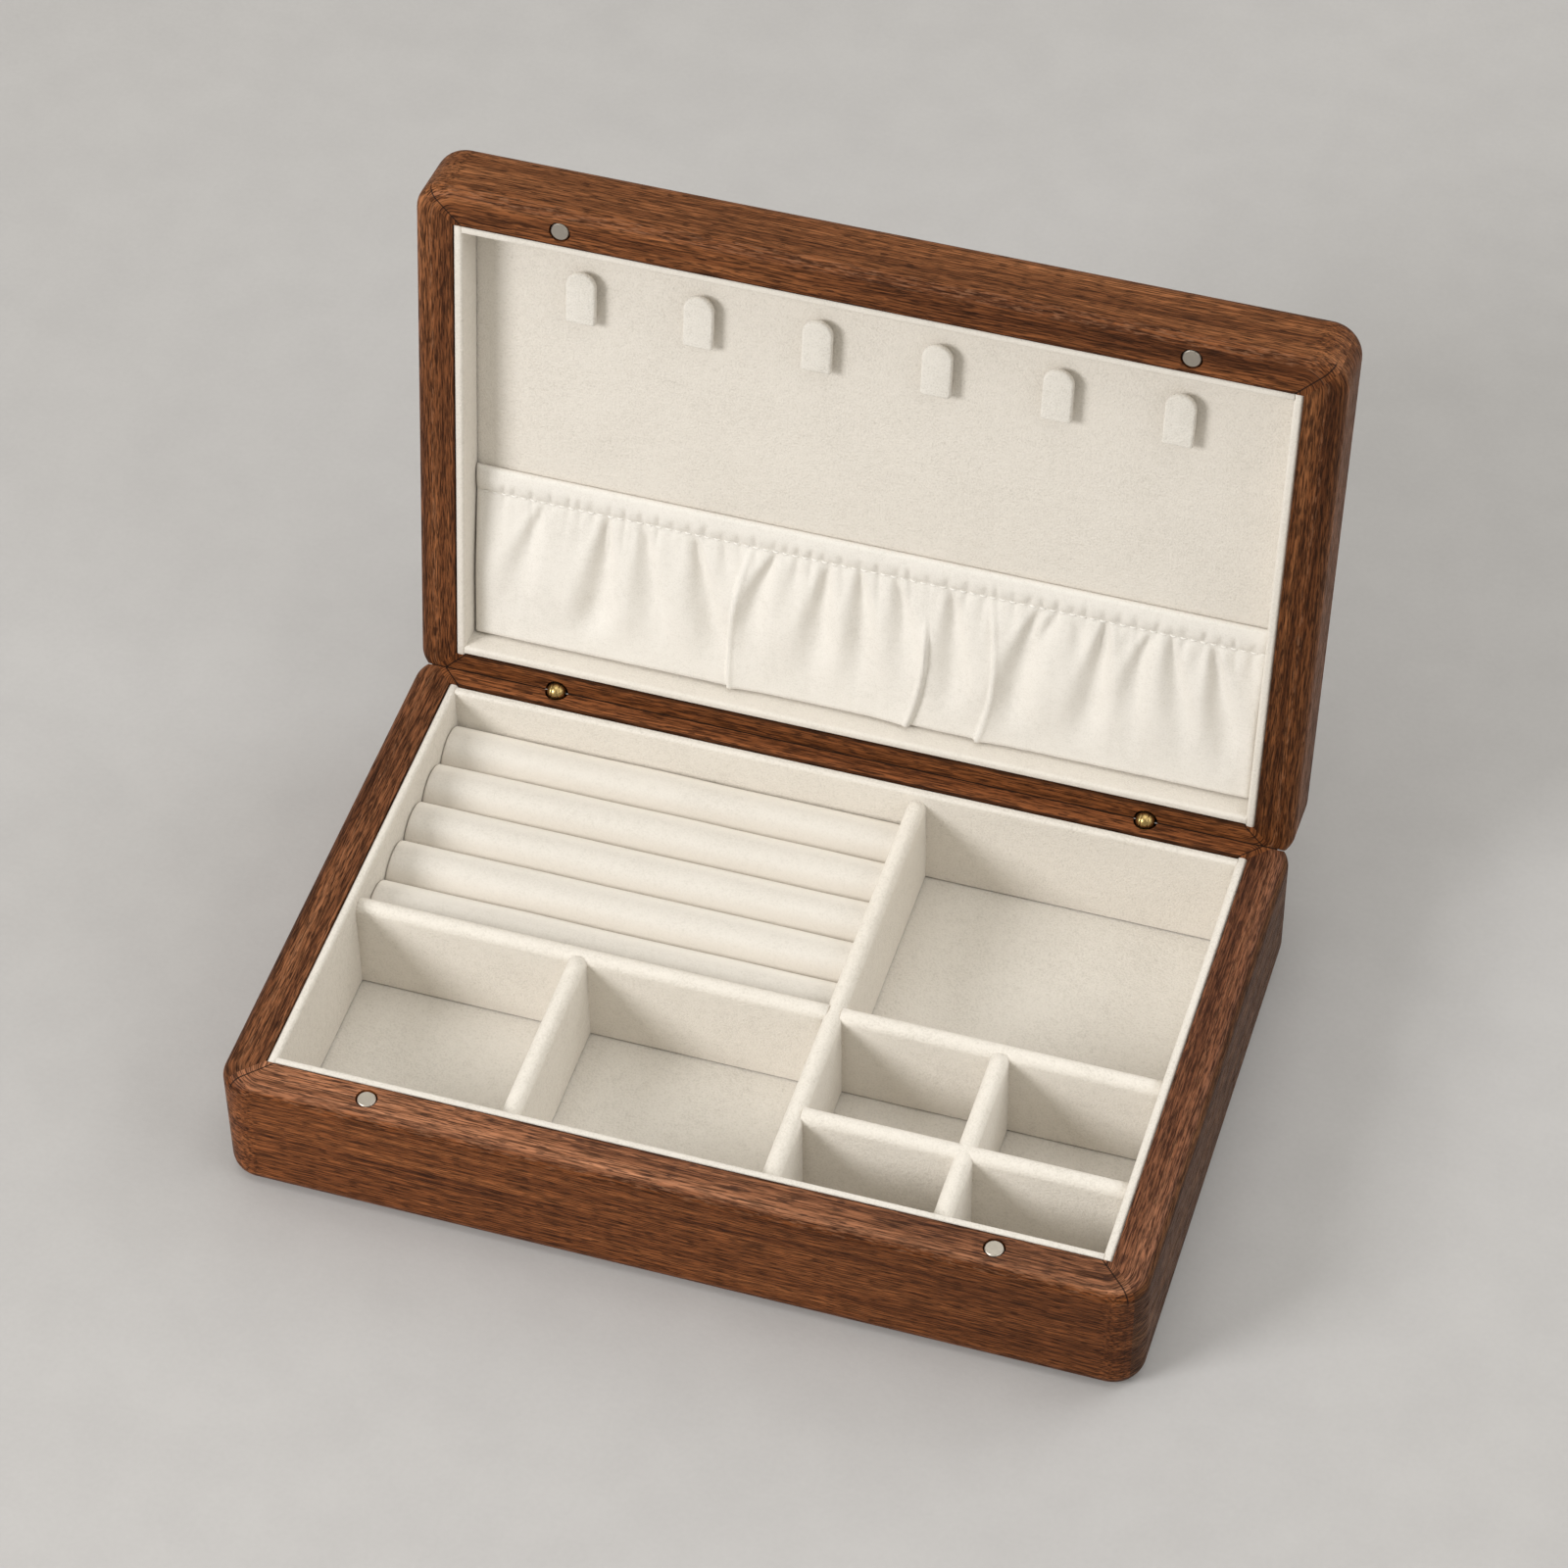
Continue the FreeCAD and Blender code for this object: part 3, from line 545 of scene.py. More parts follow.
def velvet(name, colour, pile, sheen, depth, mottle=1.0, foot=None, painted_facing=None):
    """Cloth with a speckled pile of a size, a soft sheen, bumps of a depth and a mottled colour.

    With a foot, which is a height and the way up from it, 1 or -1, it gets painted shade in the joint there.
    Facing colours paint shade where it faces the front and light where it faces the back.
    """
    material, tree, shader, place = new_material(name)
    fine = speckle(tree, place, (pile,) * 3, roughness=0.65)
    clumps = speckle(tree, place, (CLUMP_SIZE,) * 3)
    patches = speckle(tree, place, (PATCH_SIZE,) * 3)
    shade = calc(tree, "MULTIPLY_ADD", clumps, 0.2 * mottle, calc(tree, "MULTIPLY", patches, 0.16 * mottle))
    shade = calc(tree, "MULTIPLY_ADD", fine, 0.5 * mottle, shade)
    darker = tinted(colour, (0.82, 0.815, 0.80))
    paler = tuple(min(0.93, c) for c in tinted(colour, (1.06, 1.065, 1.07)))
    middle = 0.43 * mottle
    tint = coloured(tree, shade, [(middle - 0.16, darker), (middle, colour), (middle + 0.16, paler)])
    if foot is not None:
        height = put(tree, "SeparateXYZ", {0: place}).outputs[2]
        up = calc(tree, "MULTIPLY", calc(tree, "SUBTRACT", height, foot[0]), foot[1])
        ragged = calc(tree, "MULTIPLY_ADD", fine, -0.5, up)
        # Painted shade in the joint at the foot, with a ragged edge
        tint = blend(tree, ramp(tree, ragged, 0.05, 0.4, 0.8, 0.0), tint, JOINT_SHADE)
    if painted_facing is not None:
        # Painted shade where the roll faces the front, painted light where it faces the back
        backward = facing(tree, 1)
        tint = blend(tree, ramp(tree, backward, -0.8, -0.35, 0.6, 0.0), tint, painted_facing[0])
        tint = blend(tree, ramp(tree, backward, 0.05, 0.55, 0.0, 0.9), tint, painted_facing[1])
    values = {
        "Base Color": tint,
        "Roughness": 0.95,
        "Specular IOR Level": 0.1,
        "Sheen Weight": sheen,
        "Sheen Roughness": 0.4,
        "Sheen Tint": (1.0, 0.98, 0.94, 1),
    }
    bumps = calc(tree, "MULTIPLY_ADD", clumps, 0.7, fine)
    finish_shader(tree, shader, values, bumps, depth)
    return material


def metal(name, colour, roughness, scratches, tarnished):
    """Polished metal with fine scratches of a size, and a share of its colour left where it is tarnished."""
    material, tree, shader, place = new_material(name)
    fine = speckle(tree, place, scratches, detail=3.0)
    tarnish = speckle(tree, place, (TARNISH_SIZE,) * 3, detail=1.0)
    dull = tuple(c * tarnished for c in colour)
    tint = coloured(tree, tarnish, [(0.35, dull), (0.65, colour)])
    gloss = ramp(tree, fine, 0.3, 0.7, roughness * 0.75, roughness * 1.3)
    values = {"Base Color": tint, "Metallic": 1.0, "Roughness": gloss}
    finish_shader(tree, shader, values, fine, 0.006, 0.3)
    return material


def floor_material():
    """Pale grey paper-like surface with faint mottling."""
    material, tree, shader, place = new_material("floor_paper")
    mottle = speckle(tree, place, (26, 26, 26), detail=4.0, roughness=0.6)
    fine = speckle(tree, place, (1.8, 1.8, 1.8))
    shade = calc(tree, "MULTIPLY_ADD", fine, 0.5, mottle)
    tint = coloured(tree, shade, [(0.55, FLOOR_TONES[0]), (0.95, FLOOR_TONES[1])])
    finish_shader(tree, shader, {"Base Color": tint, "Roughness": 0.85}, fine, 0.05)
    return material


base_foot = (shut_box("base_front_lining")[0][2], 1)
divider_foot = (shut_box("main_divider")[0][2], 1)
lid_foot = (shut_box("lid_front_lining")[1][2], -1)
# Velvets by colour, pile, sheen, depth and mottling; metals by colour, roughness, scratches and tarnish
materials = {
    "velvet": velvet("velvet", IVORY, 0.7, 0.3, 0.25, 0.8),
    "base_wall": velvet("velvet_base_wall", IVORY, 0.7, 0.3, 0.28, 0.85, foot=base_foot),
    "lid_wall": velvet("velvet_lid_wall", IVORY, 0.7, 0.3, 0.2, 0.65, foot=lid_foot),
    "tray": velvet("velvet_tray", SHADED_TRAY_IVORY, 0.7, 0.3, 0.25, 0.85),
    "divider": velvet("velvet_divider", LIT_DIVIDER_IVORY, 0.7, 0.35, 0.26, 0.8, foot=divider_foot),
    "hook": velvet("velvet_hook", HOOK_IVORY, 0.6, 0.3, 0.25, 0.9),
    "roll": velvet("velvet_roll", ROLL_IVORY, 0.7, 0.2, 0.12, 0.6, painted_facing=ROLL_PAINTED_FACING),
    "cloth": velvet("pocket_cloth_weave", CLOTH_IVORY, 0.55, 0.18, 0.08, 0.6),
    "thread": velvet("stitch_thread", THREAD_WHITE, 0.25, 0.05, 0.05, 0.5),
    "elastic": velvet("elastic_strip", ELASTIC_WHITE, 0.6, 0.0, 0.1),
    "felt": velvet("seam_shade_strip", SEAM_SHADE_BROWN, 0.4, 0.0, 0.05),
    "brass": metal("brass", BRASS, 0.3, BRASS_SCRATCHES, 0.93),
    "shaded_nickel": metal("nickel_lid", SHADED_NICKEL, 0.4, NICKEL_SCRATCHES, 0.94),
    "nickel": metal("nickel", NICKEL, 0.5, NICKEL_SCRATCHES, 0.94),
}


# Meshes

def piece(name, corners, faces, material, body, slot, sharp=None):
    """A mesh object from millimetre corners that rides on a body; the lid's are given as they lie shut.

    It is shaded smooth, apart from edges past the sharp angle in degrees, where there is one.
    """
    mesh = bpy.data.meshes.new(name)
    mesh.from_pydata([tuple(c * METRES for c in p) for p in corners], [], faces)
    mesh.validate()
    mesh.polygons.foreach_set("use_smooth", [True] * len(mesh.polygons))
    if sharp is not None:
        mesh.set_sharp_from_angle(angle=math.radians(sharp))
    mesh.materials.append(materials[material])
    made = bpy.data.objects.new(name, mesh)
    bpy.context.scene.collection.objects.link(made)
    if body == "lid":
        made.matrix_world = opening
    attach(made, body)
    return made


def dress(name, material):
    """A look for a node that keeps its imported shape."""
    node = frame["nodes"][name]
    node.data.materials.clear()
    node.data.materials.append(material)


def side_places(low, high, low_radius, high_radius, step):
    """Places along one side of a block: close together in the rounded ends, even between them."""
    count = max(2, round((high - low - low_radius - high_radius) / step) + 1)
    shares = [1 - math.tan(math.radians(a)) for a in ROUNDING_TURNS]
    start = [low + low_radius * share for share in shares]
    end = [high - high_radius * share for share in reversed(shares)]
    return np.array([*start, *np.linspace(low + low_radius, high - high_radius, count), *end])


def soft_block(low, high, rim, foot=FOOT_RADIUS, end=None, rim_high=True, step=BOARD_STEP, wave=BOARD_WAVE):
    """Corners and faces of a block with a rounded rim at one end of Z and a nearly square foot at the other.

    With an end radius, the two ends of its length are eased by that much alone.
    """
    long_axis = 0 if high[0] - low[0] > high[1] - low[1] else 1
    side_radii = [rim if end is None or axis != long_axis else end for axis in (0, 1)]
    places = [side_places(low[i], high[i], side_radii[i], side_radii[i], step) for i in (0, 1)]
    places.append(side_places(low[2], high[2], foot, rim, step))
    counts = [len(p) for p in places]
    index = {}
    corners = []
    faces = []

    def corner(*key):
        """Number of the corner at three places, which is made when it is first asked for."""
        if key not in index:
            index[key] = len(corners)
            corners.append([places[i][key[i]] for i in range(3)])
        return index[key]

    for axis in range(3):
        a, b = ((1, 2), (2, 0), (0, 1))[axis]
        for side in (0, counts[axis] - 1):
            for i in range(counts[a] - 1):
                for j in range(counts[b] - 1):
                    ring = []
                    for u, v in ((i, j), (i + 1, j), (i + 1, j + 1), (i, j + 1)):
                        key = [0, 0, 0]
                        key[axis], key[a], key[b] = side, u, v
                        ring.append(corner(*key))
                    faces.append(ring if side else ring[::-1])
    raw = np.array(corners)
    share = smooth(low[2] + foot, high[2] - rim, raw[:, 2])
    upper = raw[:, 2] > (low[2] + high[2]) / 2
    upright = foot + (rim - foot) * share
    radii = [np.minimum(upright, radius) for radius in side_radii]
    radii = np.stack([*radii, np.where(upper, rim, foot)], 1)
    core = np.clip(raw, np.array(low) + radii, np.array(high) - radii)
    reach = (raw - core) / radii
    lengths = np.linalg.norm(reach, axis=1, keepdims=True)
    normals = reach / np.where(lengths > 0, lengths, 1)
    rounded = core + normals * radii
    lumps = np.array([noise.noise(Vector(p) / BOARD_WAVE_LENGTH) for p in raw])
    rounded -= normals * (wave * (0.5 + 0.5 * lumps))[:, None]
    if not rim_high:
        rounded[:, 2] = low[2] + high[2] - rounded[:, 2]
        faces = [f[::-1] for f in faces]
    return rounded, faces


def skin(rings, count):
    """Faces of a closed form whose corners are rings of a count each, with a cap at both ends."""
    faces = []
    for start in range(0, (rings - 1) * count, count):
        for k in range(count):
            n = (k + 1) % count
            faces.append((start + k, start + n, start + count + n, start + count + k))
    faces.append(tuple(reversed(range(count))))
    faces.append(tuple(range((rings - 1) * count, rings * count)))
    return faces


def turned(profile, centre, axis, steps=TURNED_STEPS):
    """Corners and faces of a form turned about an axis; the profile is (along, out) from end to end."""
    sides = [np.roll(np.eye(3)[axis], k) for k in range(3)]
    corners = []
    for along, out in profile:
        for k in range(steps):
            angle = 2 * math.pi * k / steps
            ring = sides[1] * math.cos(angle) + sides[2] * math.sin(angle)
            corners.append(np.array(centre) + sides[0] * along + ring * out)
    return np.array(corners), skin(len(profile), steps)


def round_bar(centre, start, end, radius, ease):
    """Corners and faces of an upright round bar with eased ends, between two heights from a centre."""
    profile = [(start, CORE_RADIUS), (start, radius - ease), (start + ease, radius)]
    profile += [(end - ease, radius), (end, radius - ease), (end, CORE_RADIUS)]
    return turned(profile, centre, 2)


def joined(*parts):
    """Several corner and face lists as one."""
    corners = []
    faces = []
    for part_corners, part_faces in parts:
        start = len(corners)
        corners.extend(part_corners)
        faces.extend(tuple(start + i for i in f) for f in part_faces)
    return np.array(corners), faces


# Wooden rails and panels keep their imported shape

def dress_wood():
    """Walnut on every rail and panel, with the grain along its length."""
    grains = {"front": (0, 2, 1), "back": (0, 2, 1), "left": (1, 2, 0), "right": (1, 2, 0)}
    names = [(f"{body}_{side}_rail", grains[side], body) for body in ("base", "lid") for side in grains]
    names += [("base_bottom_panel", (0, 1, 2), "base"), ("lid_top_panel", (0, 1, 2), "lid")]
    for number, (name, axes, body) in enumerate(names):
        look = (*BOARD_TINTS.get(name, PLAIN_BOARD), BOARD_FADES.get(name), PLAIN_FIGURES.get(name, 1.0))
        wood = walnut(f"walnut_{name}", axes, BOARD_SHIFT * number, body == "lid", *look)
        dress(name, wood)


# Velvet pieces

def velvet_boards():
    """Linings, dividers, tray floor and lid panel as soft-edged velvet boards in the place of their nodes."""
    sides = ("front", "back", "left", "right")
    walls = [f"{body}_{side}_lining" for body in ("base", "lid") for side in sides]
    places = ("main", "left_cross", "right_cross", "left_short", "small_cross", "small_short")
    dividers = [f"{place}_divider" for place in places]
    flats = {"base_floor_lining": "tray", "lid_back_lining_panel": "velvet"}
    for name in [*walls, *dividers, *flats]:
        low, high = shut_box(name)
        body = body_of(name)
        if name in flats:
            rim, material, let_in = FOOT_RADIUS, flats[name], 0.0
        elif name in dividers:
            rim, material, let_in = DIVIDER_RADIUS, "divider", DIVIDER_LET_IN
        else:
            rim, material, let_in = RIM_RADIUS, f"{body}_wall", WALL_LET_IN
            if body == "base":
                high[2] += RIM_LIFT
            else:
                low[2] -= RIM_LIFT
        long_axis = np.argmax((high - low)[:2])
        low[long_axis] -= let_in
        high[long_axis] += let_in
        corners, faces = soft_block(low, high, rim, end=BOARD_END, rim_high=body == "base")
        made = piece(f"velvet_{name}", corners, faces, material, body, "velvet")
        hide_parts(name)


def roll_section(low, high, half, radius):
    """Section of a roll in Y and Z: upright sides and a crown, from the front foot to the back foot."""
    middle_y = (low[1] + high[1]) / 2
    centre_z = high[2] - radius
    shoulder = math.asin(half / radius)
    waist_z = (low[2] + centre_z + radius * math.cos(shoulder)) / 2
    turns = [shoulder * (2 * k / ROLL_ARC_STEPS - 1) for k in range(ROLL_ARC_STEPS + 1)]
    front = [(middle_y - half, low[2]), (middle_y - half, waist_z)]
    crown = [(middle_y + radius * math.sin(turn), centre_z + radius * math.cos(turn)) for turn in turns]
    back = [(middle_y + half, waist_z), (middle_y + half, low[2])]
    return [*front, *crown, *back]


def ring_rolls():
    """Padded rolls with half-round crowns, drawn in at their ends and a little uneven along them."""
    half = (shut_box("ring_roll_1")[0][1] - shut_box("ring_roll_2")[0][1]) / 2
    radius = half * ROLL_CROWN
    ends = [ROLL_END_RADIUS * (1 - math.cos(math.radians(a))) for a in ROLL_END_TURNS]
    for number in range(1, ROLL_COUNT + 1):
        name = f"ring_roll_{number}"
        low, high = shut_box(name)
        section = roll_section(low, high, half, radius)
        first, last = low[0] + ROLL_END_RADIUS, high[0] - ROLL_END_RADIUS
        inner = np.linspace(first, last, round((high[0] - low[0]) / ROLL_STEP))
        places = [*(first - e for e in ends), *inner, *(last + e for e in reversed(ends))]
        core = np.array([(low[1] + high[1]) / 2, low[2]])
        corners = []
        for x in places:
            past = max(first - x, x - last, 0) / ROLL_END_RADIUS
            drawn = ROLL_END_RADIUS * (1 - math.sqrt(max(0.0, 1 - past * past)))
            for y, z in section:
                spread = np.array([y, z]) - core
                share = 1 - drawn / max(radius, np.linalg.norm(spread))
                spot = (x / ROLL_SWELL_LENGTH, y / ROLL_SWELL_WIDTH, number * ROLL_SWELL_STEP)
                swell = ROLL_SWELL * (0.5 + 0.5 * noise.noise(Vector(spot)))
                share -= swell / radius * smooth(low[2], high[2], z)
                corners.append((x, *(core + spread * share)))
        faces = [f[::-1] for f in skin(len(places), len(section))]
        made = piece(f"velvet_{name}", corners, faces, "roll", "base", "velvet", sharp=50)
        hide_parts(name)


def hook_outline(middle, half, tip_y, toe_y):
    """Outline of a hook's tab: a round tip and two rounded toe corners."""
    outline = []
    for k in range(HOOK_TIP_STEPS + 1):
        angle = math.pi * k / HOOK_TIP_STEPS
        outline.append((middle - half * math.cos(angle), tip_y + half - half * math.sin(angle)))
    centre_y = toe_y - HOOK_TOE_RADIUS
    for centre_x, start in ((middle + half - HOOK_TOE_RADIUS, 0), (middle - half + HOOK_TOE_RADIUS, 90)):
        for turn in HOOK_TOE_TURNS:
            angle = math.radians(start + turn)
            x = centre_x + HOOK_TOE_RADIUS * math.cos(angle)
            outline.append((x, centre_y + HOOK_TOE_RADIUS * math.sin(angle)))
    return outline


def hook_plate(outline, front_z):
    """Corners and faces of a hook's tab, with soft edges all round."""
    form = bmesh.new()
    ring = [form.verts.new((x, y, front_z + HOOK_PLATE)) for x, y in outline]
    back = form.faces.new(ring)
    grown = bmesh.ops.extrude_face_region(form, geom=[back])
    shifted = [g for g in grown["geom"] if isinstance(g, bmesh.types.BMVert)]
    bmesh.ops.translate(form, verts=shifted, vec=(0, 0, -HOOK_PLATE))
    bmesh.ops.recalc_face_normals(form, faces=form.faces)
    rims = [e for e in form.edges if abs(e.verts[0].co.z - e.verts[1].co.z) < HOOK_PLATE / 2]
    bmesh.ops.bevel(
        form, geom=rims, offset=HOOK_EDGE_RADIUS, segments=HOOK_EDGE_STEPS, profile=0.5, affect="EDGES"
    )
    form.verts.index_update()
    corners = np.array([v.co for v in form.verts])
    faces = [tuple(v.index for v in f.verts) for f in form.faces]
    form.free()
    return corners, faces


def necklace_hooks():
    """Velvet tabs with a round tip, soft edges and a stem behind the foot."""
    for number in range(1, HOOK_COUNT + 1):
        name = f"necklace_hook_{number}"
        low, high = shut_box(name)
        half = (high[0] - low[0]) / 2 - HOOK_SLIMMING
        middle = (low[0] + high[0]) / 2
        front_z = low[2] + HOOK_SETBACK
        plate = hook_plate(hook_outline(middle, half, low[1], high[1] + HOOK_LENGTHENING), front_z)
        stem_low = (middle - HOOK_STEM_HALF_WIDTH, high[1] - HOOK_STEM_HEIGHT, front_z + HOOK_PLATE / 2)
        stem_high = (middle + HOOK_STEM_HALF_WIDTH, high[1], high[2])
        stem = soft_block(stem_low, stem_high, HOOK_STEM_RADIUS, rim_high=False, wave=0)
        made = piece(f"velvet_{name}", *joined(plate, stem), "hook", "lid", "velvet", sharp=60)
        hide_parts(name)


# Gathered pocket

pocket_end, foot_y = shut_box("pocket_cloth")[1][:2]
mouth_y, hem_y = (corner[1] for corner in shut_box("pocket_hem"))
lining_z = shut_box("lid_back_lining_panel")[0][2]


def along_height(values, y):
    """Curve through three values at the folds' top, middle and low heights."""
    total = np.zeros_like(y)
    for value, height in zip(values, FOLD_HEIGHTS):
        first, second = (h for h in FOLD_HEIGHTS if h != height)
        weighted = value * (y - first) * (y - second)
        total = total + weighted / (height - first) / (height - second)
    return total


def furrow(t):
    """Section of a soft furrow, 1 deep at its middle, with low raised shoulders."""
    return (1 - 0.5 * t * t) * np.exp(-0.5 * t * t)


def folds(x, y):
    """Depth of the long folds, which widen below the hem and flatten towards their lower ends."""
    spread = smooth(hem_y + FOLD_WIDEN_RANGE[0], hem_y + FOLD_WIDEN_RANGE[1], y)
    begun = smooth(hem_y + FOLD_DEEPEN_RANGE[0], hem_y + FOLD_DEEPEN_RANGE[1], y)
    left, right = (at_hem + growth * spread for at_hem, growth in FOLD_HALF_WIDTHS)
    total = np.zeros_like(x)
    for *places, depth, faded in FOLDS:
        off = x - along_height(places, y) - FOLD_SHIFT
        flat_y = min(faded + FOLD_FLATTEN_RANGE[1], foot_y - FOLD_FOOT_MARGIN)
        kept = 1 - smooth(faded + FOLD_FLATTEN_RANGE[0], flat_y, y)
        total = total + FOLD_GAIN * depth * begun * kept * furrow(off / np.where(off < 0, left, right))
    return total


def pleats(x, y):
    """Rise of the pleats, where the cloth on one side of an edge lies over the other."""
    total = np.zeros_like(x)
    for side, *places, start in PLEATS:
        off = (x - along_height(places, np.clip(y, FOLD_HEIGHTS[0], PLEAT_LOWEST))) * side
        rise = smooth(-PLEAT_EDGE, PLEAT_EDGE, off) * np.exp(-np.clip(off, 0, None) / PLEAT_RUN)
        bead = PLEAT_BEAD * np.exp(-((off - PLEAT_BEAD_PLACE) / PLEAT_BEAD_WIDTH) ** 2)
        total = total + (PLEAT_RISE * rise + bead) * smooth(start, start + PLEAT_START_RUN, y)
    return total


def puckers(x, y):
    """Depth of the dimples that the elastic draws into the hem, and of the gathers below its stitches."""
    chance = random.Random(PUCKER_SEED)
    mouth_low, mouth_high = (mouth_y + past for past in PUCKER_MOUTH_RANGE)
    below = np.clip(y - hem_y, 0, None)
    total = np.zeros_like(x)
    place = -pocket_end + PUCKER_LEFT_MARGIN
    while place < pocket_end - PUCKER_RIGHT_MARGIN:
        width = chance.uniform(*PUCKER_WIDTH)
        tall = chance.uniform(*PUCKER_TALL)
        middle_y = hem_y - PUCKER_LIFT - tall
        dimple = chance.uniform(*PUCKER_DEPTH) * np.exp(-0.5 * ((y - middle_y) / tall) ** 2)
        dimple = dimple * smooth(mouth_low, mouth_high, y) * (y < hem_y)
        drop = chance.uniform(*GATHER_FADE_SHARE) * GATHER_FADE
        gather = chance.uniform(*GATHER_DEPTH) * np.exp(-below / drop) * (y >= hem_y)
        lean = chance.uniform(-GATHER_LEAN, GATHER_LEAN)
        total = total + (dimple + gather) * furrow((x - place - lean * (y - hem_y)) / width)
        place += chance.uniform(*PUCKER_SPACING)
    return total


def creases(x, y):
    """Rise of the small uneven creases all over the cloth."""
    total = np.zeros_like(x)
    for depth, wide, tall in CREPES:
        crepe = [noise.noise(Vector((a / wide, b / tall, CREPE_LAYER))) for a, b in zip(x, y)]
        total = total + depth * np.array(crepe) * smooth(mouth_y, hem_y, y)
    return total


def pocket_stand(x, y):
    """How far the cloth's front stands out from the lid lining."""
    below = np.clip((y - hem_y) / BULGE_FALL, 0, 1)
    belly = HEM_STAND + (BULGE_STAND - HEM_STAND) * np.sin(below * math.pi / 2)
    puff = HEM_PUFF * np.sin(np.clip((y - mouth_y) / (hem_y - mouth_y), 0, 1) * math.pi)
    stand = np.where(y < hem_y, HEM_STAND + puff, belly)
    stand = stand - folds(x, y) + pleats(x, y) - puckers(x, y) + creases(x, y)
    stand = stand - (stand - STITCH_STAND) * np.exp(-((y - hem_y) / STITCH_DIP) ** 2)
    edge = np.clip(np.minimum(pocket_end - np.abs(x), foot_y - y) / EDGE_ROLL, 0, 1)
    rolled = EDGE_SHARE + (1 - EDGE_SHARE) * np.sqrt(1 - (1 - edge) ** 2)
    lowest = CLOTH_THICKNESS + CLOTH_GAP
    return lowest + (np.clip(stand, LEAST_STAND, None) - lowest) * rolled


def gathered_pocket():
    """The pocket as one sheet: hem turned over the elastic, stitch line, gathers, folds and pleats."""
    columns = np.linspace(-pocket_end, pocket_end, round(2 * pocket_end / POCKET_STEP_X) + 1)
    turn_y = mouth_y + HEM_TURN
    front_y = np.linspace(turn_y, foot_y, round((foot_y - mouth_y) / POCKET_STEP_Y))
    fronts = [pocket_stand(columns, np.full_like(columns, y)) for y in front_y]
    back_y = np.linspace(hem_y - HEM_BACK_SHORTER, turn_y, HEM_BACK_ROWS)
    rows = [(y, HEM_BACK_STAND) for y in back_y]
    for k in range(1, HEM_TURN_STEPS):
        angle = math.pi * k / HEM_TURN_STEPS
        stand = HEM_BACK_STAND + (fronts[0] - HEM_BACK_STAND) * (1 - math.cos(angle)) / 2
        rows.append((turn_y - HEM_TURN * math.sin(angle), stand))
    rows += zip(front_y, fronts)
    high, wide = len(rows), len(columns)
    grid = np.empty((high, wide, 3))
    for line, (y, stand) in zip(grid, rows):
        line[:, 0] = columns
        line[:, 1] = y
        line[:, 2] = lining_z - stand
    starts = [i * wide + k for i in range(high - 1) for k in range(wide - 1)]
    faces = [(s, s + 1, s + wide + 1, s + wide) for s in starts]
    made = piece("pocket_sheet", grid.reshape(-1, 3), faces, "cloth", "lid", "pocket_cloth")
    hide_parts("pocket_cloth", "pocket_hem")
    thickness = made.modifiers.new("thickness", "SOLIDIFY")
    thickness.thickness = CLOTH_THICKNESS * METRES
    thickness.offset = 0
    stitches = stitch_line()


def stitch_line():
    """Row of thread stitches that closes the hem and follows its ripples."""
    profile = []
    for k in range(STITCH_STEPS + 1):
        angle = math.pi * k / STITCH_STEPS
        out = STITCH_RADIUS * max(STITCH_TIP, math.sin(angle)) ** STITCH_TAPER
        profile.append((-math.cos(angle) * STITCH_LENGTH / 2, out))
    parts = []
    x = -pocket_end + STITCH_MARGIN
    while x < pocket_end - STITCH_MARGIN:
        middle = x + STITCH_LENGTH / 2
        span = np.array([x, middle, x + STITCH_LENGTH])
        stands = pocket_stand(span, np.full(3, hem_y))
        lean = (stands[2] - stands[0]) / STITCH_LENGTH
        corners, faces = turned(profile, (middle, hem_y, 0), 0, STITCH_SIDES)
        off = corners[:, 0] - middle
        arch = STITCH_ARCH * np.cos(off / STITCH_LENGTH * math.pi)
        corners[:, 2] += lining_z - stands.mean() - CLOTH_THICKNESS / 2 - arch - lean * off
        parts.append((corners, faces))
        x += STITCH_PITCH
    return piece("pocket_stitches", *joined(*parts), "thread", "lid", "pocket_cloth")


# Metal pieces and trim

def ball_slice(x, start, end):
    """A slice of the brass ball between two places along the hinge axis, with eased edges."""
    steps = np.linspace(start, end, BALL_STEPS)
    radii = [math.sqrt(BALL_RADIUS ** 2 - s * s) for s in steps]
    radii[0] -= BALL_EASE
    radii[-1] -= BALL_EASE
    profile = [(steps[0], CORE_RADIUS), *zip(steps, radii), (steps[-1], CORE_RADIUS)]
    return turned(profile, (x, hinge_mm[1], hinge_mm[2]), 0)


def neck(x, start, end, low_z, high_z):
    """A flat neck from the ball to a barrel, between two places along the hinge axis and two heights."""
    low = (x + start, hinge_mm[1] - NECK_HALF_WIDTH, hinge_mm[2] + low_z)
    high = (x + end, hinge_mm[1] + NECK_HALF_WIDTH, hinge_mm[2] + high_z)
    return soft_block(low, high, NECK_EDGE, NECK_FOOT, wave=0)


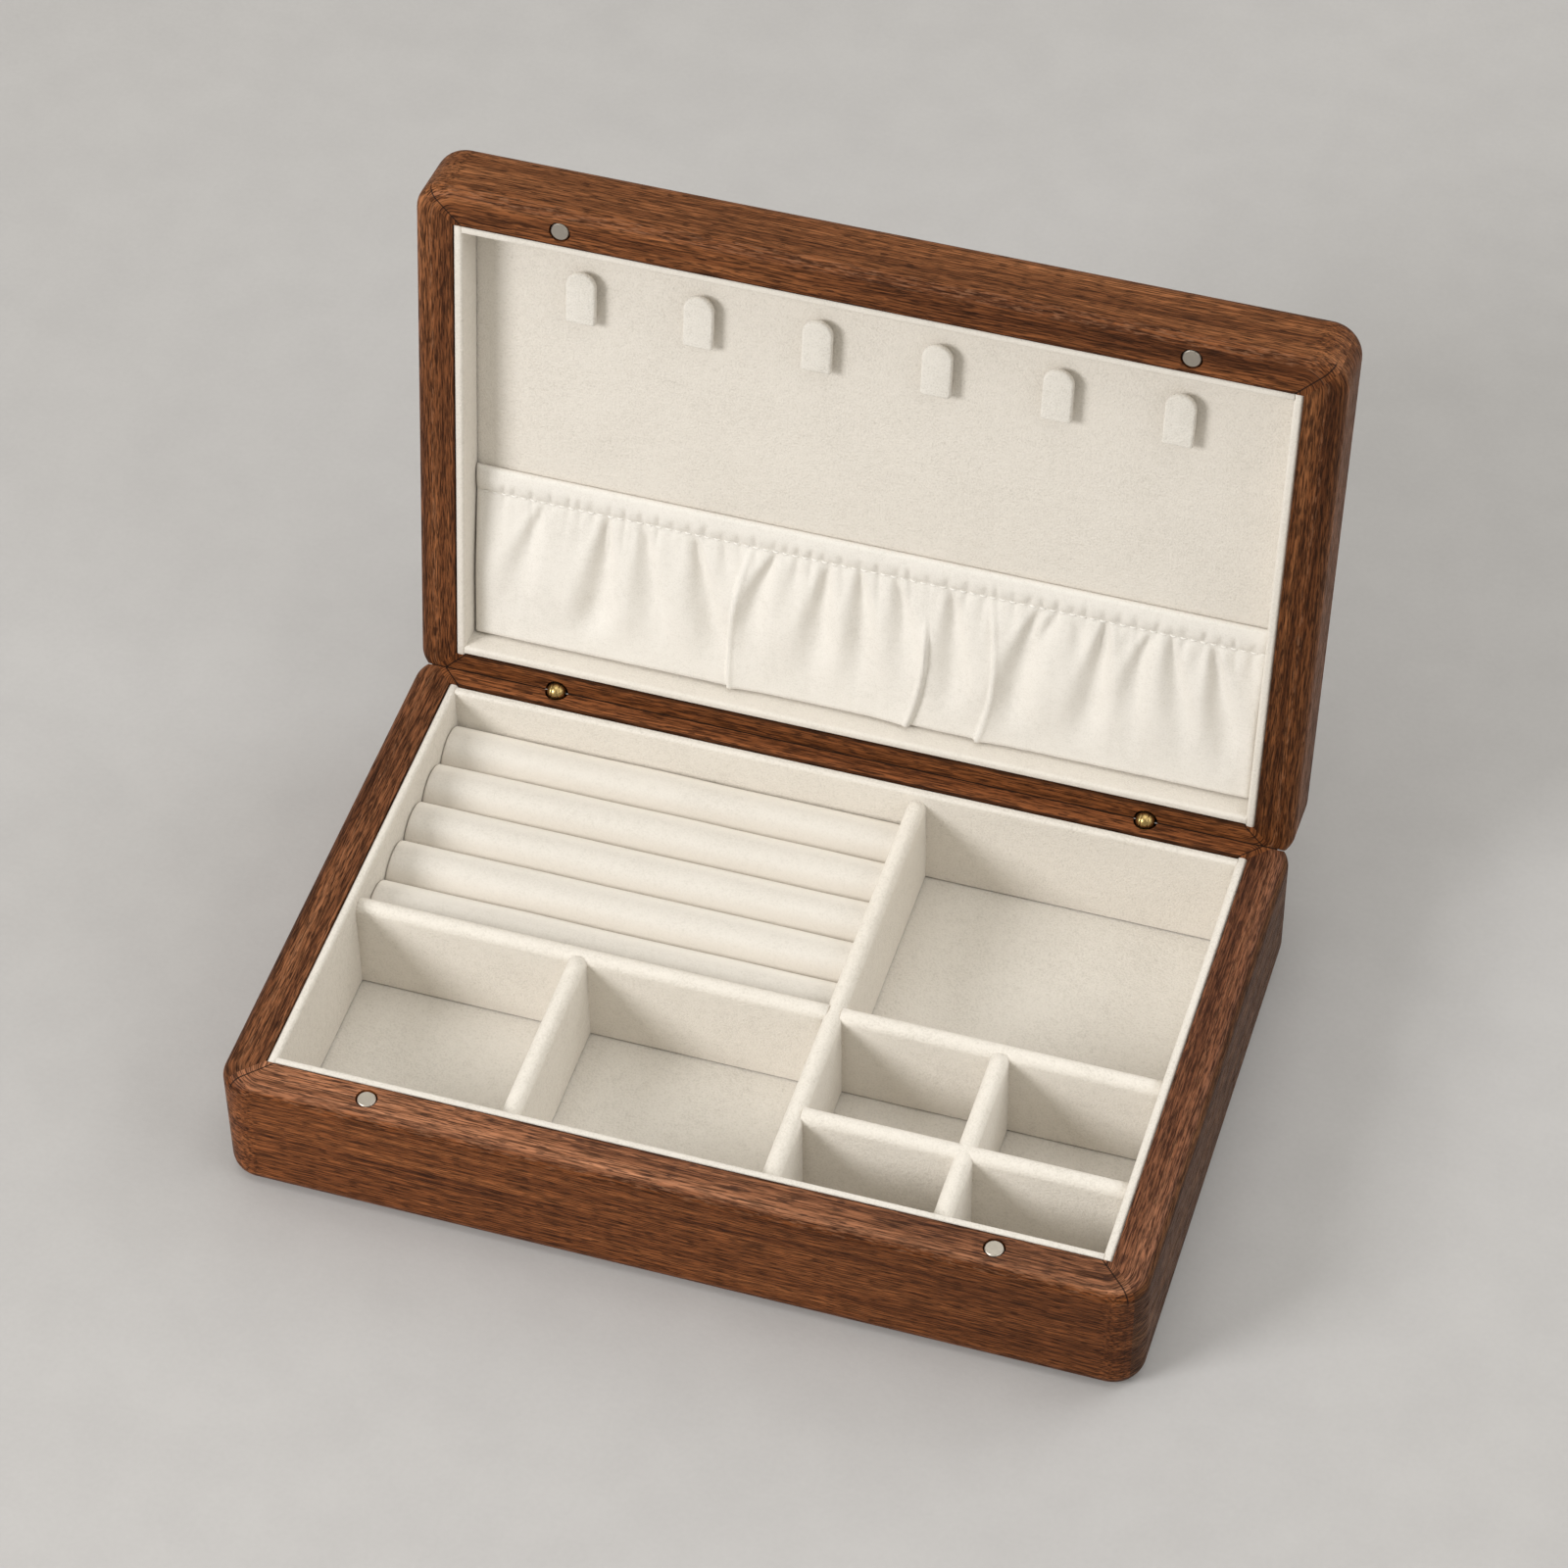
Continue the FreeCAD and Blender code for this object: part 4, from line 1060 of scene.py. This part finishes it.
def hinges():
    """Brass barrel hinges: a forked ball on the base and an eye between its halves on the lid."""
    gap = EYE_HALF_THICKNESS + EYE_GAP
    for side in ("left", "right"):
        low, high = shut_box(f"{side}_hinge_base_barrel")
        x = (low[0] + high[0]) / 2
        radius = (high[0] - low[0]) / 2
        centre = (x, hinge_mm[1], hinge_mm[2])
        halves = [ball_slice(x, -BALL_HALF_LENGTH, -gap), ball_slice(x, gap, BALL_HALF_LENGTH)]
        cheek_spans = ((-NECK_HALF_WIDTH, -gap), (gap, NECK_HALF_WIDTH))
        cheeks = [neck(x, start, end, -BARREL_SINK, -NECK_ROOT) for start, end in cheek_spans]
        barrel = round_bar(centre, low[2] - hinge_mm[2], -BARREL_SINK, radius, BARREL_EASE)
        corners, faces = joined(*halves, *cheeks, barrel)
        fork = piece(f"brass_{side}_fork", corners, faces, "brass", "base", "brass", sharp=40)
        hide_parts(f"{side}_hinge_base_barrel")
        top_z = shut_box(f"{side}_hinge_lid_barrel")[1][2]
        eye = ball_slice(x, -EYE_HALF_THICKNESS, EYE_HALF_THICKNESS)
        tongue = neck(x, -EYE_HALF_THICKNESS, EYE_HALF_THICKNESS, NECK_ROOT, BARREL_SINK)
        barrel = round_bar(centre, BARREL_SINK, top_z - hinge_mm[2], radius, BARREL_EASE)
        corners, faces = joined(eye, tongue, barrel)
        eye_piece = piece(f"brass_{side}_eye", corners, faces, "brass", "lid", "brass", sharp=40)
        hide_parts(f"{side}_hinge_lid_barrel")
        dress(f"{side}_hinge_pin", materials["brass"])


def seam_shade_strip():
    """Thin dark strip along the hinge axis in the narrow seam between the two back rails: painted shade of
    the seam.
    """
    end = shut_box("base_back_rail")[1][0] - SEAM_END
    barrels = [shut_box(f"{side}_hinge_base_barrel") for side in ("left", "right")]
    starts = [-end, *(high[0] + SEAM_FIT for low, high in barrels)]
    stops = [*(low[0] - SEAM_FIT for low, high in barrels), end]
    parts = []
    for start, stop in zip(starts, stops):
        low = (start, *(hinge_mm[1:] - SEAM_HALF_THICKNESS))
        high = (stop, *(hinge_mm[1:] + SEAM_HALF_THICKNESS))
        parts.append(soft_block(low, high, SEAM_EDGE, SEAM_EDGE, step=SEAM_STEP, wave=0))
    piece("seam_shade_strip", *joined(*parts), "felt", "base", "elastic")


def magnets():
    """Nickel discs with a bevelled edge, a little smaller than their bores."""
    # The lid's discs take the darker nickel as painted shade
    for body, nickel_look in (("base", "nickel"), ("lid", "shaded_nickel")):
        for side in ("left", "right"):
            name = f"{body}_{side}_magnet"
            low, high = shut_box(name)
            radius = (high[0] - low[0]) / 2 - MAGNET_RING
            half = (high[2] - low[2]) / 2
            corners, faces = round_bar((low + high) / 2, -half, half, radius, MAGNET_EDGE)
            made = piece(f"nickel_{name}", corners, faces, nickel_look, body, "magnet", sharp=25)
            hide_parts(name)


def hidden_elastic():
    """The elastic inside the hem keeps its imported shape."""
    dress("pocket_elastic", materials["elastic"])


# Studio

def floor():
    """Pale seamless floor under the box."""
    mesh = bpy.data.meshes.new("floor")
    corners = [(x * FLOOR_REACH, y * FLOOR_REACH, 0) for x, y in ((-1, -1), (1, -1), (1, 1), (-1, 1))]
    mesh.from_pydata(corners, [], [(0, 1, 2, 3)])
    mesh.materials.append(floor_material())
    made = bpy.data.objects.new("floor", mesh)
    bpy.context.scene.collection.objects.link(made)


def area_light(name, place, size, power, colour):
    """Round soft light, turned to the box."""
    light = bpy.data.lights.new(name, "AREA")
    light.shape = "DISK"
    light.size = size
    light.energy = power
    light.color = colour
    made = bpy.data.objects.new(name, light)
    made.location = place
    made.rotation_mode = "QUATERNION"
    made.rotation_quaternion = (Vector(LIGHTS_AIM) - Vector(place)).to_track_quat("-Z", "Y")
    bpy.context.scene.collection.objects.link(made)


def studio():
    """Soft key from the front left, a broad light from above, two weak fills and an even surround."""
    scene = bpy.context.scene
    scene.view_settings.view_transform = "Standard"
    world = bpy.data.worlds.new("surround")
    world.use_nodes = True
    background = world.node_tree.nodes["Background"]
    background.inputs["Color"].default_value = SURROUND_COLOUR
    background.inputs["Strength"].default_value = SURROUND_STRENGTH
    scene.world = world
    for name, light in LIGHTS.items():
        area_light(name, *light)


def camera():
    """Camera fitted to the photograph."""
    lens = bpy.data.cameras.new("camera")
    lens.lens = CAMERA_LENS
    lens.sensor_width = CAMERA_SENSOR
    made = bpy.data.objects.new("camera", lens)
    place = Vector(CAMERA_PLACE) * METRES
    look = (Vector(CAMERA_AIM) * METRES - place).to_track_quat("-Z", "Y").to_matrix().to_4x4()
    roll = Matrix.Rotation(math.radians(CAMERA_ROLL), 4, "Z")
    made.matrix_world = Matrix.Translation(place) @ look @ roll
    bpy.context.scene.collection.objects.link(made)
    bpy.context.scene.camera = made


dress_wood()
velvet_boards()
ring_rolls()
necklace_hooks()
gathered_pocket()
hinges()
seam_shade_strip()
magnets()
hidden_elastic()
floor()
studio()
camera()
